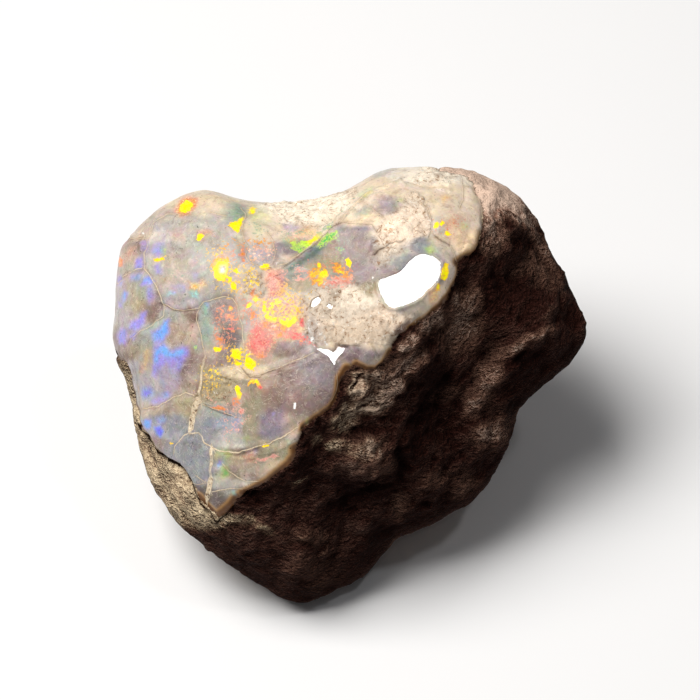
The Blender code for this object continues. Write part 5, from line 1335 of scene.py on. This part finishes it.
def rock_finish():
    """Rough brown host rock, weathered to tan grains on its worn rim, with painted light and shade on its
    facets and hollows.
    """
    f = Finish("host_rock", IOR=1.5, Specular_IOR_Level=0.03)
    cloud = f.noise(3.5, 4.0, 0.6)
    pores = f.noise(0.8, 4.0, 0.7, warp=0.6)
    grains = f.noise(0.36, 3.0, 0.65)
    specks = f.noise(0.17, 2.0, 0.6)
    along = {"Vector": f.place, "Rotation": STREAK_TURN, "Scale": (0.55, 1, 1)}
    streaks = f.noise(0.7, 4.0, 0.6, f.node("ShaderNodeMapping", None, along), 0.6)
    height = 0.22 * streaks + 0.36 * pores + 0.42 * grains
    crack_and_shadow, beside_crack, _ = f.line("crack_and_shadow", 0.12 * (specks - 0.5))
    weathered = f.stored("weathered")
    normal = f.bump(height * f.ramp(weathered, 0.6, 1.0, 1.0, 0.25), 2.0, 1.0)
    normal = f.bump(specks, 0.08, 0.8, normal)

    # painted light and shade, with some dust: paler where the rock stands high and where its facets face
    # up towards the key light, darker where it faces away from that light, near black in the hollows as
    # painted shade
    _, _, smooth_up = f.parts(f.node("ShaderNodeNewGeometry", out="Normal"))
    _, _, up = f.parts(normal)
    lit_upward_facets = up - 0.65 * smooth_up
    high = 1.2 * f.stored("raised") + 2.0 * (height - 0.5) + 0.5 * (cloud - 0.5) + 2.6 * lit_upward_facets - 0.75
    fresh = f.mix(f.ramp(high, -0.9, 0.2), ROCK_HOLLOW_SHADE, ROCK_RED_BROWN)
    fresh = f.mix(f.ramp(high, 0.2, 1.2), fresh, ROCK_BROWN)
    fresh = f.mix(f.ramp(high, 1.2, 2.0), fresh, ROCK_DUST_AND_LIGHT)
    across, _, _ = f.parts(f.place)
    on_shoulder = f.ramp(across, -6.0, 6.0)
    tan = f.mix(on_shoulder, RIM_TAN, SHOULDER_TAN)
    pale = f.mix(on_shoulder, RIM_PALE, SHOULDER_PALE)
    # Painted light on the worn rim too: facets that face up towards the key light are painted paler.
    rugged_and_lit = 3.4 * (height - 0.5) + 1.6 * (grains - 0.5) + 2.5 * lit_upward_facets + 1.6 * (cloud - 0.5)
    uneven = f.ramp(weathered, 0.0, 0.5, 0.0, 0.6) * f.ramp(weathered, 0.7, 1.0, 1.0, 0.60)
    worn = 0.65 * weathered + uneven * rugged_and_lit
    colour = f.mix(f.ramp(worn, 0.08, 0.40), fresh, WORN_BROWN)
    colour = f.mix(f.ramp(worn, 0.42, 0.82), colour, tan)
    colour = f.mix(f.ramp(worn, 0.80, 1.20), colour, pale)
    colour = f.mix(f.ramp(specks, 0.46, 0.34, 0.0, 0.60), colour, ROCK_PORE, "MULTIPLY")
    # Painted shade beside the cracks.
    colour = f.mix(f.ramp(beside_crack, 0.22, 0.02, 0.0, 0.35), colour, SHADE_BESIDE_ROCK_CRACK)
    # The cracks painted dark, partly as painted shadow in the groove beside the opal.
    colour = f.mix(crack_and_shadow, colour, ROCK_CRACK_SHADE)
    f.feed(Base_Color=colour, Roughness=f.ramp(grains, 0.3, 0.7, 0.72, 0.95), Normal=normal)
    return f.material


def floor_finish():
    """The pale sheet that the stone lies on."""
    f = Finish("pale_floor", Roughness=0.9, Specular_IOR_Level=0.1)
    mottle = f.noise(40.0, 2.0, 0.5)
    f.feed(Base_Color=f.mix(mottle, (0.88, 0.89, 0.91), (0.90, 0.91, 0.93)))
    return f.material


# ---- the set --------------------------------------------------------------------------


def face_way(way):
    """A direction in the face frame, as a unit direction in the world."""
    turned = to_world(np.array(way, float)) - to_world(np.zeros(3))
    return Vector(turned).normalized()


def softbox(name, way, distance, size, watts, colour):
    """A square softbox that looks at the stone from the given way in the face frame."""
    light = bpy.data.lights.new(name, "AREA")
    light.size = size
    light.energy = watts
    light.color = colour
    lamp = bpy.data.objects.new(name, light)
    bpy.context.scene.collection.objects.link(lamp)
    middle = Vector(to_world(np.zeros(3)))
    towards = face_way(way)
    lamp.location = middle + distance * towards
    lamp.rotation_euler = towards.to_track_quat("Z", "Y").to_euler()


def set_camera():
    """A long lens that looks straight onto the broken face."""
    camera = bpy.data.cameras.new("camera")
    camera.lens = LENS
    camera.sensor_width = SENSOR
    camera.clip_start = 0.01
    eye = bpy.data.objects.new("camera", camera)
    bpy.context.scene.collection.objects.link(eye)
    eye.location = Vector(to_world(np.array([0.0, VIEW_CENTRE, VIEW_DISTANCE])))
    eye.rotation_euler = (math.pi / 2 - FACE_ELEVATION, 0.0, 0.0)
    bpy.context.scene.camera = eye


def set_stage():
    """The floor, the soft room and the two lights, none of them part of the stone."""
    bm = bmesh.new()
    bmesh.ops.create_grid(bm, x_segments=1, y_segments=1, size=FLOOR_REACH)
    mesh = bpy.data.meshes.new("floor")
    bm.to_mesh(mesh)
    bm.free()
    mesh.materials.append(floor_finish())
    floor = bpy.data.objects.new("floor", mesh)
    bpy.context.scene.collection.objects.link(floor)
    world = bpy.data.worlds.new("soft_room")
    world.use_nodes = True
    room = world.node_tree.nodes["Background"]
    room.inputs["Color"].default_value = (1.0, 1.0, 1.0, 1.0)
    room.inputs["Strength"].default_value = ROOM_LIGHT
    bpy.context.scene.world = world
    bpy.context.scene.view_settings.view_transform = "Standard"
    softbox("key", KEY_LIGHT, 0.55, 0.32, KEY_WATTS, (1.0, 0.97, 0.93))
    softbox("mirror_light", MIRROR_LIGHT, 0.60, 0.045, MIRROR_WATTS, (1.0, 1.0, 1.0))


def main():
    """Sets the stage, makes the stone and says which solid it stands for."""
    set_camera()
    set_stage()
    mesh, edge = carve_stone()
    mesh.materials.append(opal_finish())
    mesh.materials.append(rock_finish())
    for face in mesh.polygons:
        face.material_index = int(np.mean(edge[list(face.vertices)]) < 0)
    stone = bpy.data.objects.new("opal_stone", mesh)
    bpy.context.scene.collection.objects.link(stone)
    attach(stone, "root")
    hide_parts(NODE)


main()
